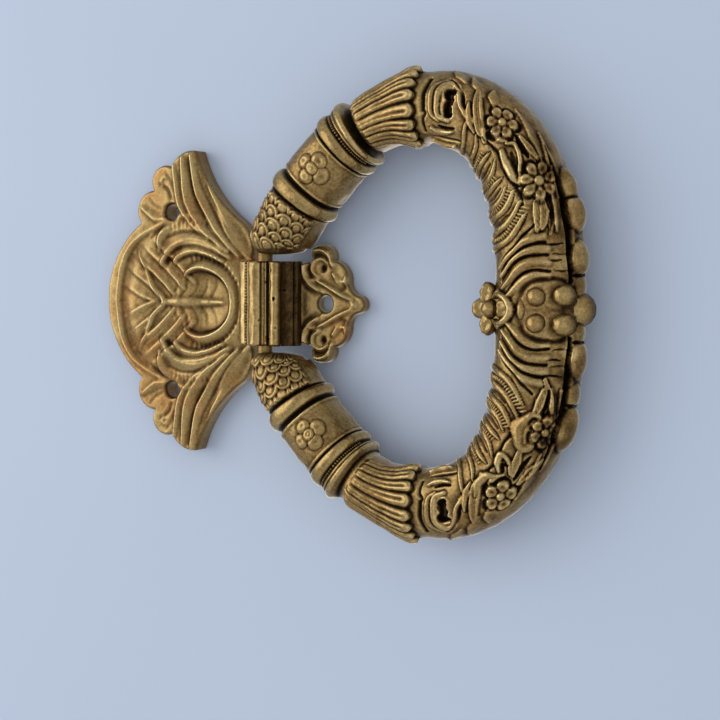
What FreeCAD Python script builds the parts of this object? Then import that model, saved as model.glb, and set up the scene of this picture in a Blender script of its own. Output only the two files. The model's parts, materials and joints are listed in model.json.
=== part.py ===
import FreeCAD, Part
import math
import os

# A small cast brass door knocker: a shell-shaped back plate with a knuckle in
# the middle and a leafy tail below, and an oval drop ring that swings on two
# short pins. Millimetres. X runs across the door, Z up, and the front faces -Y.
# The plate's back lies on Y = 0, and the hinge axis is the line Z = 0.

Vec = FreeCAD.Vector

# Back plate
plate_thick = 2.8
shell_top = 4.2          # the shell's raised middle, from the door
rim_top = 5.2            # the crest's rolled border
scroll_top = 5.6         # the U-shaped scroll round the middle hollow
crest_centre_z = 18.5
crest_radius = 17.5
tail_top = 3.6           # the tail's rolled leaves
screw_hole_radius = 1.5
upper_hole_x = 16.5
upper_hole_z = 21.4
tail_hole_z = -10.2
hollow_centre = (0, 13.7)
hollow_radius = 5.1

# Hinge
pin_height = 5.6         # hinge axis from the door
pin_radius = 1.40
pin_running_gap = 0.06
pin_bore_depth = 5.0
knuckle_half_length = 7.5
knuckle_low_z = -5.8
knuckle_high_z = 5.6
tenon_radius = 1.6
tenon_z = 3.1

# Drop ring
ring_mid_height = 6.0    # middle of the ring's section, from the door
ring_tip_x = 9.2
seat_depth = 4.0         # how far each pin is driven into the ring

# Centre line of the ring's right half, from its tip to the bottom
ring_path = [
    (9.2, -3.3),
    (11.0, -3.4),
    (13.9, -4.9),
    (17.5, -7.3),
    (23.8, -12.8),
    (29.4, -19.0),
    (32.6, -26.5),
    (33.2, -32.8),
    (31.7, -39.4),
    (28.1, -44.5),
    (22.1, -48.5),
    (13.0, -51.2),
    (0.0, -51.9),
]

# Sections down the right half: distance along the centre line, width, depth
ring_sections = [
    (0.0, 8.2, 7.2),      # scaled cone
    (0.7, 9.4, 8.6),
    (2.4, 10.6, 9.6),
    (5.5, 11.2, 10.2),
    (9.2, 11.3, 10.2),
    (9.8, 11.9, 10.8),    # tip collar
    (10.8, 12.6, 11.4),
    (12.2, 12.6, 11.4),
    (13.0, 11.8, 10.8),
    (13.5, 11.5, 10.6),   # flower drum
    (17.0, 11.9, 11.0),
    (20.8, 11.4, 10.6),
    (21.2, 12.1, 11.2),   # bead collar
    (23.4, 12.3, 11.2),
    (23.8, 11.7, 10.8),
    (24.6, 12.2, 11.0),
    (25.9, 11.8, 10.8),
    (26.3, 10.0, 9.6),
    (26.9, 9.7, 9.4),     # fluted horn
    (31.0, 10.3, 9.6),
    (34.6, 11.4, 10.2),
    (38.6, 13.6, 11.2),
    (39.0, 11.8, 10.6),
    (40.4, 11.8, 10.6),   # cartouche
    (44.0, 12.6, 11.0),
    (49.0, 12.7, 11.2),
    (53.5, 12.9, 11.2),   # garland
    (60.0, 13.7, 11.2),
    (67.0, 14.3, 11.2),
    (74.0, 14.6, 11.2),   # middle clasp
    (80.0, 14.6, 11.2),
]


def point(x, z, height=0.0):
    """A point at a height above the door."""
    return Vec(x, -height, z)


def arc(a, b, c):
    return Part.Arc(point(*a), point(*b), point(*c)).toShape()


def line(a, b):
    return Part.LineSegment(point(*a), point(*b)).toShape()


def mirrored(shape):
    return shape.mirror(Vec(0, 0, 0), Vec(1, 0, 0))


def round_post(x, z, radius, low, high):
    """A round post or hole that stands out from the door."""
    return Part.makeCylinder(radius, high - low, point(x, z, low), Vec(0, -1, 0))


def raised(face, height):
    return face.extrude(Vec(0, -height, 0))


def band(centre, radius, width, start, end, low, high):
    """A curved bar with round ends, raised from one height to another."""
    def spot(r, degrees):
        turn = math.radians(degrees)
        return (centre[0] + r * math.cos(turn), centre[1] + r * math.sin(turn))

    inner = radius - width / 2
    outer = radius + width / 2
    middle = (start + end) / 2
    sense = 1 if end > start else -1
    tip = sense * math.degrees(width / 2 / radius)
    edges = [
        arc(spot(outer, start), spot(outer, middle), spot(outer, end)),
        arc(spot(outer, end), spot(radius, end + tip), spot(inner, end)),
        arc(spot(inner, end), spot(inner, middle), spot(inner, start)),
        arc(spot(inner, start), spot(radius, start - tip), spot(outer, start)),
    ]
    face = Part.Face(Part.Wire(edges))
    face.translate(Vec(0, -low, 0))
    return raised(face, high - low)


def both_sides(make, *sizes):
    """The same piece at the right and, mirrored, at the left."""
    right = make(*sizes)
    return [right, mirrored(right)]


def plate_outline():
    """The plate's edge, from the crest down the right side to the tail's tip."""
    turns = [
        ((9.9, 32.93), (14.5, 28.3)),         # crest
        ((17.9, 28.9), (20.5, 25.4)),         # first lobe, with the screw hole
        ((23.8, 25.3), (24.8, 21.5)),         # second lobe
        ((27.0, 19.6), (27.6, 16.2)),         # wing tip
        ((20.6, 12.8), (14.6, 6.8)),          # underside of the wing
        ((11.4, 4.6), (8.3, 4.2)),            # neck
        (None, (7.2, 3.2)),
        (None, (7.2, -6.0)),
        (None, (7.6, -7.6)),
        ((10.5, -9.7), (7.8, -11.8)),         # tail volute
        ((6.6, -13.9), (3.7, -14.8)),         # tail's lower lobe
        ((2.4, -15.4), (1.5, -16.8)),
        ((0.9, -17.7), (0.0, -18.0)),         # tip
    ]
    edges = []
    start = (0.0, crest_centre_z + crest_radius)
    for via, end in turns:
        edges.append(arc(start, via, end) if via else line(start, end))
        start = end
    return Part.Wire(edges + [mirrored(edge) for edge in reversed(edges)])


def shell_plate():
    plate = raised(Part.Face(Part.Wire(Part.sortEdges(plate_outline().Edges)[0])), plate_thick)
    foot = plate_thick / 2
    crest = (0, crest_centre_z)
    relief = [
        round_post(0, 18.9, 13.2, 0, shell_top),
        band(crest, crest_radius - 1.6, 2.4, 38, 142, foot, rim_top),
        band(hollow_centre, hollow_radius + 1.4, 2.6, 160, 380, foot, scroll_top),
        band((0, 6.0), 15.0, 1.6, 76, 104, foot, shell_top + 0.5),
    ]
    ribs = [
        # centre, radius, width, start, end: the flutes that fan out to the wing
        ((27.5, -3.1), 19.0, 2.0, 98, 142),
        ((29.5, -5.6), 24.2, 2.0, 103, 142),
        ((28.0, 1.4), 19.4, 1.8, 118, 158),
    ]
    for centre, radius, width, start, end in ribs:
        relief += both_sides(band, centre, radius, width, start, end, foot, shell_top)
    relief += both_sides(band, (8.2, 20.8), 2.6, 1.5, -60, 150, foot, shell_top + 0.7)
    relief += both_sides(band, (6.7, -9.2), 1.7, 1.4, -60, 190, foot, tail_top)
    relief += both_sides(band, (4.2, -13.1), 1.1, 1.0, -110, 90, foot, tail_top - 0.4)
    for piece in relief:
        plate = plate.fuse(piece)
    hollow = round_post(*hollow_centre, hollow_radius, 2.4, scroll_top + 1)
    cuts = [hollow, round_post(0, tail_hole_z, screw_hole_radius, -1, 7)]
    cuts += both_sides(round_post, upper_hole_x, upper_hole_z, screw_hole_radius, -1, 7)
    cuts += [round_post(0, z, tenon_radius, -1, plate_thick) for z in (tenon_z, -tenon_z)]
    for cut in cuts:
        plate = plate.cut(cut)
    return plate.removeSplitter()


def hinge_knuckle():
    """A moulded block with two tenons riveted through the plate."""
    foot = plate_thick
    high = knuckle_high_z
    low = knuckle_low_z
    steps = [
        # via (none for a straight run), end: z and height, over the block's top
        (None, (high, 4.9)),
        ((high - 0.4, 6.0), (high - 1.2, 6.6)),            # top fillet
        (None, (high - 3.3, 7.2)),                         # flat band
        ((high - 5.0, 8.8), (high - 6.5, 7.3)),            # broad half-round
        (None, (high - 7.5, 7.2)),                         # groove
        ((high - 8.6, 8.1), (high - 9.6, 7.1)),            # narrow half-round
        ((high - 9.9, 5.5), (low + 0.6, 4.9)),             # cove
        (None, (low + 0.6, 4.3)),
        (None, (low, 4.2)),                                # bottom ledge
        (None, (low, foot)),
    ]

    def corner(at):
        return Vec(-knuckle_half_length, -at[1], at[0])

    edges = []
    start = (high, foot)
    for via, end in steps:
        if via:
            edges.append(Part.Arc(corner(start), corner(via), corner(end)).toShape())
        else:
            edges.append(Part.LineSegment(corner(start), corner(end)).toShape())
        start = end
    edges.append(Part.LineSegment(corner(start), corner((high, foot))).toShape())
    block = Part.Face(Part.Wire(edges)).extrude(Vec(2 * knuckle_half_length, 0, 0))
    for z in (tenon_z, -tenon_z):
        block = block.fuse(round_post(0, z, tenon_radius, 0, foot + 0.5))
    for side in (-1, 1):
        mouth = Vec(side * knuckle_half_length, -pin_height, 0)
        bore_radius = pin_radius + pin_running_gap
        block = block.cut(Part.makeCylinder(bore_radius, pin_bore_depth, mouth, Vec(-side, 0, 0)))
    return block.removeSplitter()


def pivot_pin():
    """The right pin: driven into the ring's tip, running in the knuckle."""
    start = knuckle_half_length - pin_bore_depth + 0.3
    length = ring_tip_x + seat_depth - start
    pin = Part.makeCylinder(pin_radius, length, Vec(start, -pin_height, 0), Vec(1, 0, 0))
    end_edges = [edge for edge in pin.Edges if abs(edge.CenterOfMass.x - start) < 0.01]
    return pin.makeChamfer(0.25, end_edges)


def ring_section(centre, across, width, depth):
    """One closed section: domed in front, flatter behind."""
    spots = []
    count = 20
    for step in range(count):
        turn = 2 * math.pi * step / count
        side = math.copysign(abs(math.cos(turn)) ** 0.85, math.cos(turn)) * width / 2
        flatness = 0.95 if math.sin(turn) > 0 else 0.7
        out = math.copysign(abs(math.sin(turn)) ** flatness, math.sin(turn)) * depth / 2
        spot = centre + across * side
        spots.append(Vec(spot.x, -(ring_mid_height + out), spot.z))
    curve = Part.BSplineCurve()
    curve.interpolate(Points=spots, PeriodicFlag=True)
    return Part.Wire(curve.toShape())


def ring_centre_line():
    right = [point(x, z) for x, z in ring_path]
    left = [Vec(-spot.x, 0, spot.z) for spot in reversed(right[:-1])]
    curve = Part.BSplineCurve()
    curve.interpolate(Points=right + left)
    return curve


def ring_body(centre_line):
    whole = centre_line.length()
    stops = list(ring_sections) + [(whole - s, w, d) for s, w, d in reversed(ring_sections)]
    wires = []
    for distance, width, depth in stops:
        u = centre_line.parameterAtDistance(distance, centre_line.FirstParameter)
        along = centre_line.tangent(u)[0]
        across = Vec(-along.z, 0, along.x)
        wires.append(ring_section(centre_line.value(u), across, width, depth))
    return Part.makeLoft(wires, True, True)


def ball(x, z, height, radius):
    return Part.makeSphere(radius, point(x, z, height))


def drop_ring():
    ring = ring_body(ring_centre_line())
    bosses = both_sides(ball, 1.9, -53.0, 10.5, 1.7)                  # berries
    bosses += both_sides(ball, 2.0, -56.4, 9.4, 1.7)
    bosses += [ball(0, -58.0, 6.2, 2.9)]                              # bottom berry
    bosses += [ball(0, -44.6, 8.6, 2.2), ball(0, -42.9, 7.4, 1.8)]    # rosette
    bosses += both_sides(ball, 2.6, -45.1, 8.2, 1.7)
    bosses += both_sides(ball, 16.8, -56.0, 6.0, 3.3)                 # swag scallops
    bosses += both_sides(ball, 7.4, -56.9, 6.0, 2.7)
    bosses += both_sides(ball, 29.8, -47.3, 9.0, 2.8)                 # garland flowers
    bosses += both_sides(ball, 20.8, -52.3, 8.6, 3.2)
    for boss in bosses:
        ring = ring.fuse(boss)
    for x in (32.3, 34.9):                                            # kidney slots
        for slot in both_sides(round_post, x, -37.2, 1.4, 7.4, 14):
            ring = ring.cut(slot)
    for side in (-1, 1):
        seat = Vec(side * (ring_tip_x + seat_depth), -pin_height, 0)
        ring = ring.cut(Part.makeCylinder(pin_radius, 2 * seat_depth, seat, Vec(-side, 0, 0)))
    return ring.removeSplitter()


def main():
    os.makedirs("parts", exist_ok=True)
    right_pin = pivot_pin()
    pieces = {
        "shell_plate": shell_plate(),
        "hinge_knuckle": hinge_knuckle(),
        "drop_ring": drop_ring(),
        "left_pivot_pin": mirrored(right_pin),
        "right_pivot_pin": right_pin,
    }
    for name, shape in pieces.items():
        solids = shape.Solids
        if len(solids) != 1 or not shape.isValid():
            raise SystemExit(f"{name}: {len(solids)} solids, valid {shape.isValid()}")
        solids[0].exportStep(f"parts/{name}.step")
        print(name, "volume", round(shape.Volume, 1), "mm3")


main()
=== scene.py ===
import json
import math

import bmesh
import bpy
import numpy as np
from mathutils import Matrix, Vector
from mathutils.geometry import delaunay_2d_cdt

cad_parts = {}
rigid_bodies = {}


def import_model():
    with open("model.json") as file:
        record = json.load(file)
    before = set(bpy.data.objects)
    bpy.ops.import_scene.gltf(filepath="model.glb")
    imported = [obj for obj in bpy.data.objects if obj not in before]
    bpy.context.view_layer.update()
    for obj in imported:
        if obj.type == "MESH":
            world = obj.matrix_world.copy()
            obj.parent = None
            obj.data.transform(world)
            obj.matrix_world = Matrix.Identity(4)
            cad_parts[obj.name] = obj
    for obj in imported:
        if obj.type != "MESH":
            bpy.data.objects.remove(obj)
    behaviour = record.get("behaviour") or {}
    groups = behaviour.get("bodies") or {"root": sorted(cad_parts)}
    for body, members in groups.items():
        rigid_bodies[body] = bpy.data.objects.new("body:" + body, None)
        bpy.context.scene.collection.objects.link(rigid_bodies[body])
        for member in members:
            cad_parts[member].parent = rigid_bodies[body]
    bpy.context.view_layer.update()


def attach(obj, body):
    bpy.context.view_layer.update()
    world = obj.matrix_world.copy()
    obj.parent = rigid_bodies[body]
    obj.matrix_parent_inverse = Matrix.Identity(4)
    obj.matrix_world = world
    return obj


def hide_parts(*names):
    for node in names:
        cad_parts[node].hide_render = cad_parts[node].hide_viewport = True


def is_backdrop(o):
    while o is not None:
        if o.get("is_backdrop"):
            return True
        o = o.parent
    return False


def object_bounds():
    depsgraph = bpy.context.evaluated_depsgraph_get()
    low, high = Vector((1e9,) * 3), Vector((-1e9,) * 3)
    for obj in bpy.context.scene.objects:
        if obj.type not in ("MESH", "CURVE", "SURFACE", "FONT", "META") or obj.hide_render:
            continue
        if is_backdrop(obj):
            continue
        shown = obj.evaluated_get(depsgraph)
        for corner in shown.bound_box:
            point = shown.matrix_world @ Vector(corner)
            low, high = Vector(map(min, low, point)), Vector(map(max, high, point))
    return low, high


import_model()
mm = 0.001

# Everything is drawn in millimetres: x across the door, z up, h out from the door.
# The hinge axis is z = 0, and the front faces -Y.


def smooth(low, high, value):
    t = np.clip((value - low) / (high - low), 0, 1)
    return t * t * (3 - 2 * t)


def curveThrough(points, perSpan=7):
    # Catmull-Rom line through a few points
    p = np.array(points, float)
    if len(p) < 3:
        return p
    q = np.concatenate([[2 * p[0] - p[1]], p, [2 * p[-1] - p[-2]]])
    t = np.linspace(0, 1, perSpan, endpoint=False)[:, None]
    out = []
    for a, b, c, d in zip(q, q[1:], q[2:], q[3:]):
        out.append(b + 0.5 * t * (c - a + t * (2 * a - 5 * b + 4 * c - d + t * (3 * (b - c) + d - a))))
    return np.concatenate(out + [p[-1:]])


def splineThrough(points, count):
    # natural cubic spline by chord length, as evenly spaced points
    p = np.array(points, float)
    d = np.concatenate([[0], np.cumsum(np.hypot(*np.diff(p, axis=0).T))])
    gap = np.diff(d)
    n = len(p)
    a = np.eye(n)
    rhs = np.zeros((n, 2))
    for i in range(1, n - 1):
        a[i, i - 1:i + 2] = gap[i - 1], 2 * (gap[i - 1] + gap[i]), gap[i]
        rhs[i] = 6 * ((p[i + 1] - p[i]) / gap[i] - (p[i] - p[i - 1]) / gap[i - 1])
    bend = np.linalg.solve(a, rhs)
    u = np.linspace(0, d[-1], 6000)
    k = np.clip(np.searchsorted(d, u, side="right") - 1, 0, n - 2)
    g = gap[k][:, None]
    left, right = (d[k + 1] - u)[:, None], (u - d[k])[:, None]
    fine = (bend[k] * left ** 3 + bend[k + 1] * right ** 3) / (6 * g)
    fine += (p[k] / g - bend[k] * g / 6) * left + (p[k + 1] / g - bend[k + 1] * g / 6) * right
    run = np.concatenate([[0], np.cumsum(np.hypot(*np.diff(fine, axis=0).T))])
    even = np.linspace(0, run[-1], count)
    return np.stack([np.interp(even, run, part) for part in fine.T], 1), run[-1]


def blur(field, radiusA, radiusB):
    # soft average over a window of cells, twice along each way
    for axis, radius in ((0, radiusA), (1, radiusB)):
        radius = max(1, int(round(radius)))
        for _ in range(2):
            pads = [(0, 0), (0, 0)]
            pads[axis] = (radius + 1, radius)
            total = np.cumsum(np.pad(field, pads, mode="edge"), axis=axis)
            width = 2 * radius + 1
            late, early = (slice(width, None), slice(None)), (slice(None, -width), slice(None))
            field = (total[late[::1 - 2 * axis]] - total[early[::1 - 2 * axis]]) / width
    return field


waveRandom = np.random.default_rng(11)


def lumps(x, y, z, size, strength):
    # gentle unevenness of a cast surface, lumps of about this size
    total = 0
    for _ in range(9):
        way = waveRandom.normal(size=3)
        way *= 2 * math.pi / (size * waveRandom.uniform(0.7, 1.6) * np.linalg.norm(way))
        total = total + np.sin(x * way[0] + y * way[1] + z * way[2] + waveRandom.uniform(0, 6.28))
    return total * strength / 3


class Relief:
    # heights in mm over a surface laid out flat, rows along a and columns along b

    def __init__(self, a, b):
        self.a, self.b = a, b
        self.h = np.zeros((len(a), len(b)))

    def patch(self, lowA, highA, lowB, highB):
        i = slice(*np.searchsorted(self.a, (lowA, highA)))
        j = slice(*np.searchsorted(self.b, (lowB, highB)))
        return i, j, self.a[i][:, None], self.b[j][None, :]

    def lay(self, i, j, away, height, shape, how, floor):
        inside = away < 1
        left = np.clip(1 - away ** 2, 0, 1)
        if shape == "round":
            part = np.sqrt(left)
        elif shape == "soft":
            part = left ** 2
        elif shape == "fold":    # slopes up to a sharp edge on the left of its path
            part = smooth(-1.1, 0.75, away) * (1 - smooth(0.72, 1, away)) * (away > -1)
        else:
            part = smooth(0, 0.35, 1 - np.minimum(away, 1))    # flat with steep sides
        here = self.h[i, j]
        if how == "add":
            here += height * part
        elif how == "over":
            np.maximum(here, np.where(inside, floor + height * part, -99), out=here)
        else:
            np.copyto(here, here * (1 - part) + floor * part)    # press to a level

    def stroke(self, points, width, height, shape="round", how="over", floor=0.0):
        line = curveThrough(points)
        if np.isscalar(width):
            width = (width, width)
        half = np.interp(np.linspace(0, 1, len(line)), np.linspace(0, 1, len(width)), width) / 2
        half = np.maximum(half, 0.04)
        reach = half.max()
        low, high = line.min(0) - reach, line.max(0) + reach
        i, j, a, b = self.patch(low[0], high[0], low[1], high[1])
        away = np.full((a.shape[0], b.shape[1]), 1e6)
        side = np.full_like(away, -1)
        for p, q, wp, wq in zip(line, line[1:], half, half[1:]):
            d = q - p
            t = np.clip(((a - p[0]) * d[0] + (b - p[1]) * d[1]) / max(d @ d, 1e-9), 0, 1)
            offA, offB = a - p[0] - t * d[0], b - p[1] - t * d[1]
            far = np.hypot(offA, offB) / (wp + (wq - wp) * t)
            side = np.where(far < away, np.sign(d[0] * offB - d[1] * offA), side)
            away = np.minimum(away, far)
        self.lay(i, j, away * side if shape == "fold" else away, height, shape, how, floor)

    def dome(self, at, size, height, turn=0.0, shape="round", how="over", floor=0.0):
        if np.isscalar(size):
            size = (size, size)
        reach = max(size)
        i, j, a, b = self.patch(at[0] - reach, at[0] + reach, at[1] - reach, at[1] + reach)
        c, s = math.cos(turn), math.sin(turn)
        along, across = (a - at[0]) * c + (b - at[1]) * s, (b - at[1]) * c - (a - at[0]) * s
        self.lay(i, j, np.hypot(along / size[0], across / size[1]), height, shape, how, floor)

    def beads(self, points, step, size, height, floor=0.0):
        line = curveThrough(points)
        run = np.concatenate([[0], np.cumsum(np.hypot(*np.diff(line, axis=0).T))])
        for far in np.arange(step / 2, run[-1], step):
            at = np.interp(far, run, line[:, 0]), np.interp(far, run, line[:, 1])
            ahead = np.interp(far + 0.2, run, line[:, 0]), np.interp(far + 0.2, run, line[:, 1])
            turn = math.atan2(ahead[1] - at[1], ahead[0] - at[0])
            self.dome(at, size, height, turn, floor=floor)

    def shade(self, stepA, stepB, look=(3.8, 0.55)):
        # how hollow and how proud each spot is, for the patina and painted shade in the hollows and for the
        # rubbed edges
        fine = self.h - blur(self.h, 0.35 / stepA, 0.35 / stepB)
        wide = self.h - blur(self.h, 1.0 / stepA, 1.0 / stepB)
        lift = fine * look[0] + wide * look[1]
        return np.clip(-lift, 0, 1), np.clip(lift, 0, 1)


def makeMesh(name, spots, quads, marks=None, sharp=None, tris=()):
    # spots in mm as (x, h, z); marks are (hollow, worn) for each spot
    mesh = bpy.data.meshes.new(name)
    spots = np.asarray(spots, float)
    quads = np.asarray(quads, np.int32).reshape(-1, 4)
    tris = np.asarray(tris, np.int32).reshape(-1, 3)
    mesh.vertices.add(len(spots))
    mesh.vertices.foreach_set("co", (spots * (mm, -mm, mm)).ravel())
    mesh.loops.add(quads.size + tris.size)
    mesh.loops.foreach_set("vertex_index", np.concatenate([quads.ravel(), tris.ravel()]))
    mesh.polygons.add(len(quads) + len(tris))
    starts = np.concatenate([np.arange(len(quads)) * 4, quads.size + np.arange(len(tris)) * 3])
    mesh.polygons.foreach_set("loop_start", starts.astype(np.int32))
    mesh.update(calc_edges=True)
    mesh.validate()
    mesh.polygons.foreach_set("use_smooth", [True] * len(mesh.polygons))
    if sharp:
        mesh.set_sharp_from_angle(angle=math.radians(sharp))
    for label, values in zip(("hollow", "worn"), marks or (np.zeros(len(spots)),) * 2):
        mark = mesh.attributes.new(label, "FLOAT", "POINT")
        mark.data.foreach_set("value", np.asarray(values, np.float32).ravel())
    piece = bpy.data.objects.new(name, mesh)
    bpy.context.collection.objects.link(piece)
    return piece


def gridFaces(rows, columns, wrap=False, flip=False):
    i = np.arange(rows - 1)[:, None]
    j = np.arange(columns if wrap else columns - 1)[None, :]
    k = (j + 1) % columns
    corners = [i * columns + j, i * columns + k, (i + 1) * columns + k, (i + 1) * columns + j]
    faces = np.stack(np.broadcast_arrays(*corners), -1).reshape(-1, 4)
    return faces[:, ::-1] if flip else faces


def fan(first, columns, tip, flip=False):
    # triangles from a closed row of points to one point
    k = np.arange(columns)
    faces = np.stack([first + k, first + (k + 1) % columns, np.full(columns, tip)], 1)
    return faces[:, ::-1] if flip else faces


# Finishes: gilt brass with patina and painted shade in its hollows, rubbed bright on its edges.

speckSize, grainDepth = 0.16, 0.03    # mm
copperTint = (1.0, 0.80, 0.70, 1)


def brassFinish(name, look):
    material = bpy.data.materials.new(name)
    material.use_nodes = True
    nodes, links = material.node_tree.nodes, material.node_tree.links
    shader = nodes["Principled BSDF"]
    place = nodes.new("ShaderNodeTexCoord").outputs["Object"]

    def noise(size, detail=3.0, rough=0.6):
        node = nodes.new("ShaderNodeTexNoise")
        node.inputs["Scale"].default_value = 1 / (size * mm)
        node.inputs["Detail"].default_value = detail
        node.inputs["Roughness"].default_value = rough
        links.new(place, node.inputs["Vector"])
        return node.outputs["Fac"]

    def sums(kind, a, b, c=None, clamp=False):
        node = nodes.new("ShaderNodeMath")
        node.operation = kind
        node.use_clamp = clamp
        for socket, value in zip(node.inputs, (a, b, c)):
            if value is None:
                continue
            if isinstance(value, (int, float)):
                socket.default_value = value
            else:
                links.new(value, socket)
        return node.outputs[0]

    def mark(label):
        node = nodes.new("ShaderNodeAttribute")
        node.attribute_name = label
        return node.outputs["Fac"]

    def sway(value, strength):
        return sums("MULTIPLY", sums("SUBTRACT", value, 0.5), strength)

    hollow, worn = mark("hollow"), mark("worn")
    cloud, grain, speck = noise(look["cloudSize"]), noise(look["grainSize"], 4, 0.7), noise(speckSize, 2)
    # tone runs from patina and painted shade in the hollows to rubbed metal on the edges
    tone = sums("MULTIPLY_ADD", worn, look["wear"], look["tone"])
    tone = sums("SUBTRACT", tone, sums("MULTIPLY", hollow, look["tarnishAndShade"]))
    tone = sums("ADD", tone, sway(grain, look["mottle"]))
    tone = sums("ADD", tone, sway(cloud, look["clouds"]))
    tone = sums("ADD", tone, sway(speck, 0.3), clamp=True)
    ramp = nodes.new("ShaderNodeValToRGB")
    stops = ramp.color_ramp.elements
    for _ in range(len(look["colours"]) - 2):
        stops.new(0.5)
    for stop, (at, colour) in zip(stops, look["colours"]):
        stop.position = at
        stop.color = (*colour, 1)
    links.new(tone, ramp.inputs["Fac"])
    tint = nodes.new("ShaderNodeMix")    # copper shows through in patches
    tint.data_type = "RGBA"
    tint.blend_type = "MULTIPLY"
    patch = sums("MULTIPLY", sums("SUBTRACT", noise(look["copperSize"], 2), 0.47), 5, clamp=True)
    links.new(sums("MULTIPLY", patch, look["copper"]), tint.inputs["Factor"])
    links.new(ramp.outputs["Color"], tint.inputs["A"])
    tint.inputs["B"].default_value = copperTint
    links.new(tint.outputs["Result"], shader.inputs["Base Color"])
    shader.inputs["Metallic"].default_value = look["metal"]
    rough = sums("MULTIPLY_ADD", hollow, 0.35, look["rough"])
    rough = sums("SUBTRACT", rough, sums("MULTIPLY", worn, 0.14))
    rough = sums("ADD", rough, sway(grain, 0.3), clamp=True)
    links.new(rough, shader.inputs["Roughness"])
    bump = nodes.new("ShaderNodeBump")
    bump.inputs["Strength"].default_value = look["bump"]
    bump.inputs["Distance"].default_value = grainDepth * mm
    links.new(sums("ADD", grain, sums("MULTIPLY", speck, 0.5)), bump.inputs["Height"])
    links.new(bump.outputs["Normal"], shader.inputs["Normal"])
    return material


giltColours = (
    (0.00, (0.005, 0.003, 0.001)),
    (0.22, (0.028, 0.015, 0.005)),
    (0.45, (0.140, 0.083, 0.028)),
    (0.62, (0.285, 0.192, 0.073)),
    (0.82, (0.480, 0.360, 0.165)),
    (1.00, (0.760, 0.650, 0.390)),
)
castGilt = brassFinish("castGilt", dict(
    colours=giltColours, tone=0.56, wear=0.22, tarnishAndShade=0.66, mottle=0.46, clouds=0.22,
    cloudSize=7, grainSize=0.5, copper=0.35, copperSize=12, metal=0.95, rough=0.33, bump=0.8))
plateGilt = brassFinish("plateGilt", dict(
    colours=giltColours, tone=0.61, wear=0.18, tarnishAndShade=0.52, mottle=0.36, clouds=0.16,
    cloudSize=6, grainSize=0.45, copper=1.0, copperSize=9, metal=0.92, rough=0.37, bump=0.7))
rubbedBrass = brassFinish("rubbedBrass", dict(
    colours=giltColours, tone=0.62, wear=0.40, tarnishAndShade=0.60, mottle=0.40, clouds=0.30,
    cloudSize=5, grainSize=0.6, copper=0.2, copperSize=8, metal=0.95, rough=0.27, bump=0.35))
pinBrass = brassFinish("pinBrass", dict(
    colours=giltColours, tone=0.50, wear=0.3, tarnishAndShade=0.5, mottle=0.3, clouds=0.3,
    cloudSize=3, grainSize=0.6, copper=0.2, copperSize=6, metal=0.95, rough=0.34, bump=0.3))
print("finishes ready")


# Drop ring: one casting, drawn as a tube whose skin carries the ornament. A place on it is
# (distance from the tip, turn): the outer edge is at 0 degrees, the front at 90, the inner
# edge at 180.

ring = dict(
    path=[(9.2, -3.3), (11.0, -3.4), (13.9, -4.9), (17.5, -7.3), (23.8, -12.8), (29.4, -19.0),
          (32.6, -26.5), (33.2, -32.8), (31.7, -39.4), (28.1, -44.5), (22.1, -48.5),
          (13.0, -51.2), (0.0, -51.9)],
    middle=6.0,        # middle of the section, out from the door
    step=0.16,         # mesh step along the ring
    frontStep=1.4,     # mesh step round the front, degrees
    backStep=4.0,
    firstTurn=-86, frontTurns=(-15, 195), lastTurn=271,
    sideFull=0.85, frontFull=0.95, backFull=0.7,    # 1 is an oval section, less is squarer
    perDegree=0.111,   # skin length of a degree round the section
    lowest=0.35,       # nothing comes nearer to the door than this
    sections=[         # distance from the tip, width, depth
        (0.0, 8.2, 7.2), (0.7, 9.4, 8.6), (2.4, 10.6, 9.6), (5.5, 11.2, 10.2), (9.2, 11.3, 10.2),
        (9.9, 11.6, 10.4), (12.8, 11.7, 10.6), (13.5, 11.5, 10.6), (17.0, 11.9, 11.0),
        (21.0, 11.4, 10.6), (24.0, 11.5, 10.7), (26.2, 11.3, 10.5), (27.0, 9.6, 9.3),
        (31.0, 10.0, 9.4), (34.6, 11.0, 9.9), (38.4, 12.6, 10.5), (39.6, 11.8, 10.4),
        (40.8, 11.7, 10.5), (44.0, 12.5, 11.0), (49.0, 12.7, 11.2), (53.5, 12.9, 11.1),
        (60.0, 13.6, 11.1), (67.0, 14.2, 11.1), (74.0, 14.5, 11.1), (90.0, 14.6, 11.1)],
    tips=((0.9, 0.22), (0.68, 0.42), (0.36, 0.52)),    # rounded ends: share of the section, how far out
    tipOut=0.54,
)

# how a stroke is cut into the casting or laid on it
strokeKinds = dict(
    cut=dict(shape="soft", how="add"),
    fold=dict(shape="fold", how="add"),
    ridge=dict(shape="round", how="over"),
    swell=dict(shape="soft", how="over"),
    rope=dict(shape="round", how="over", floor=-0.04),
)

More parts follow.
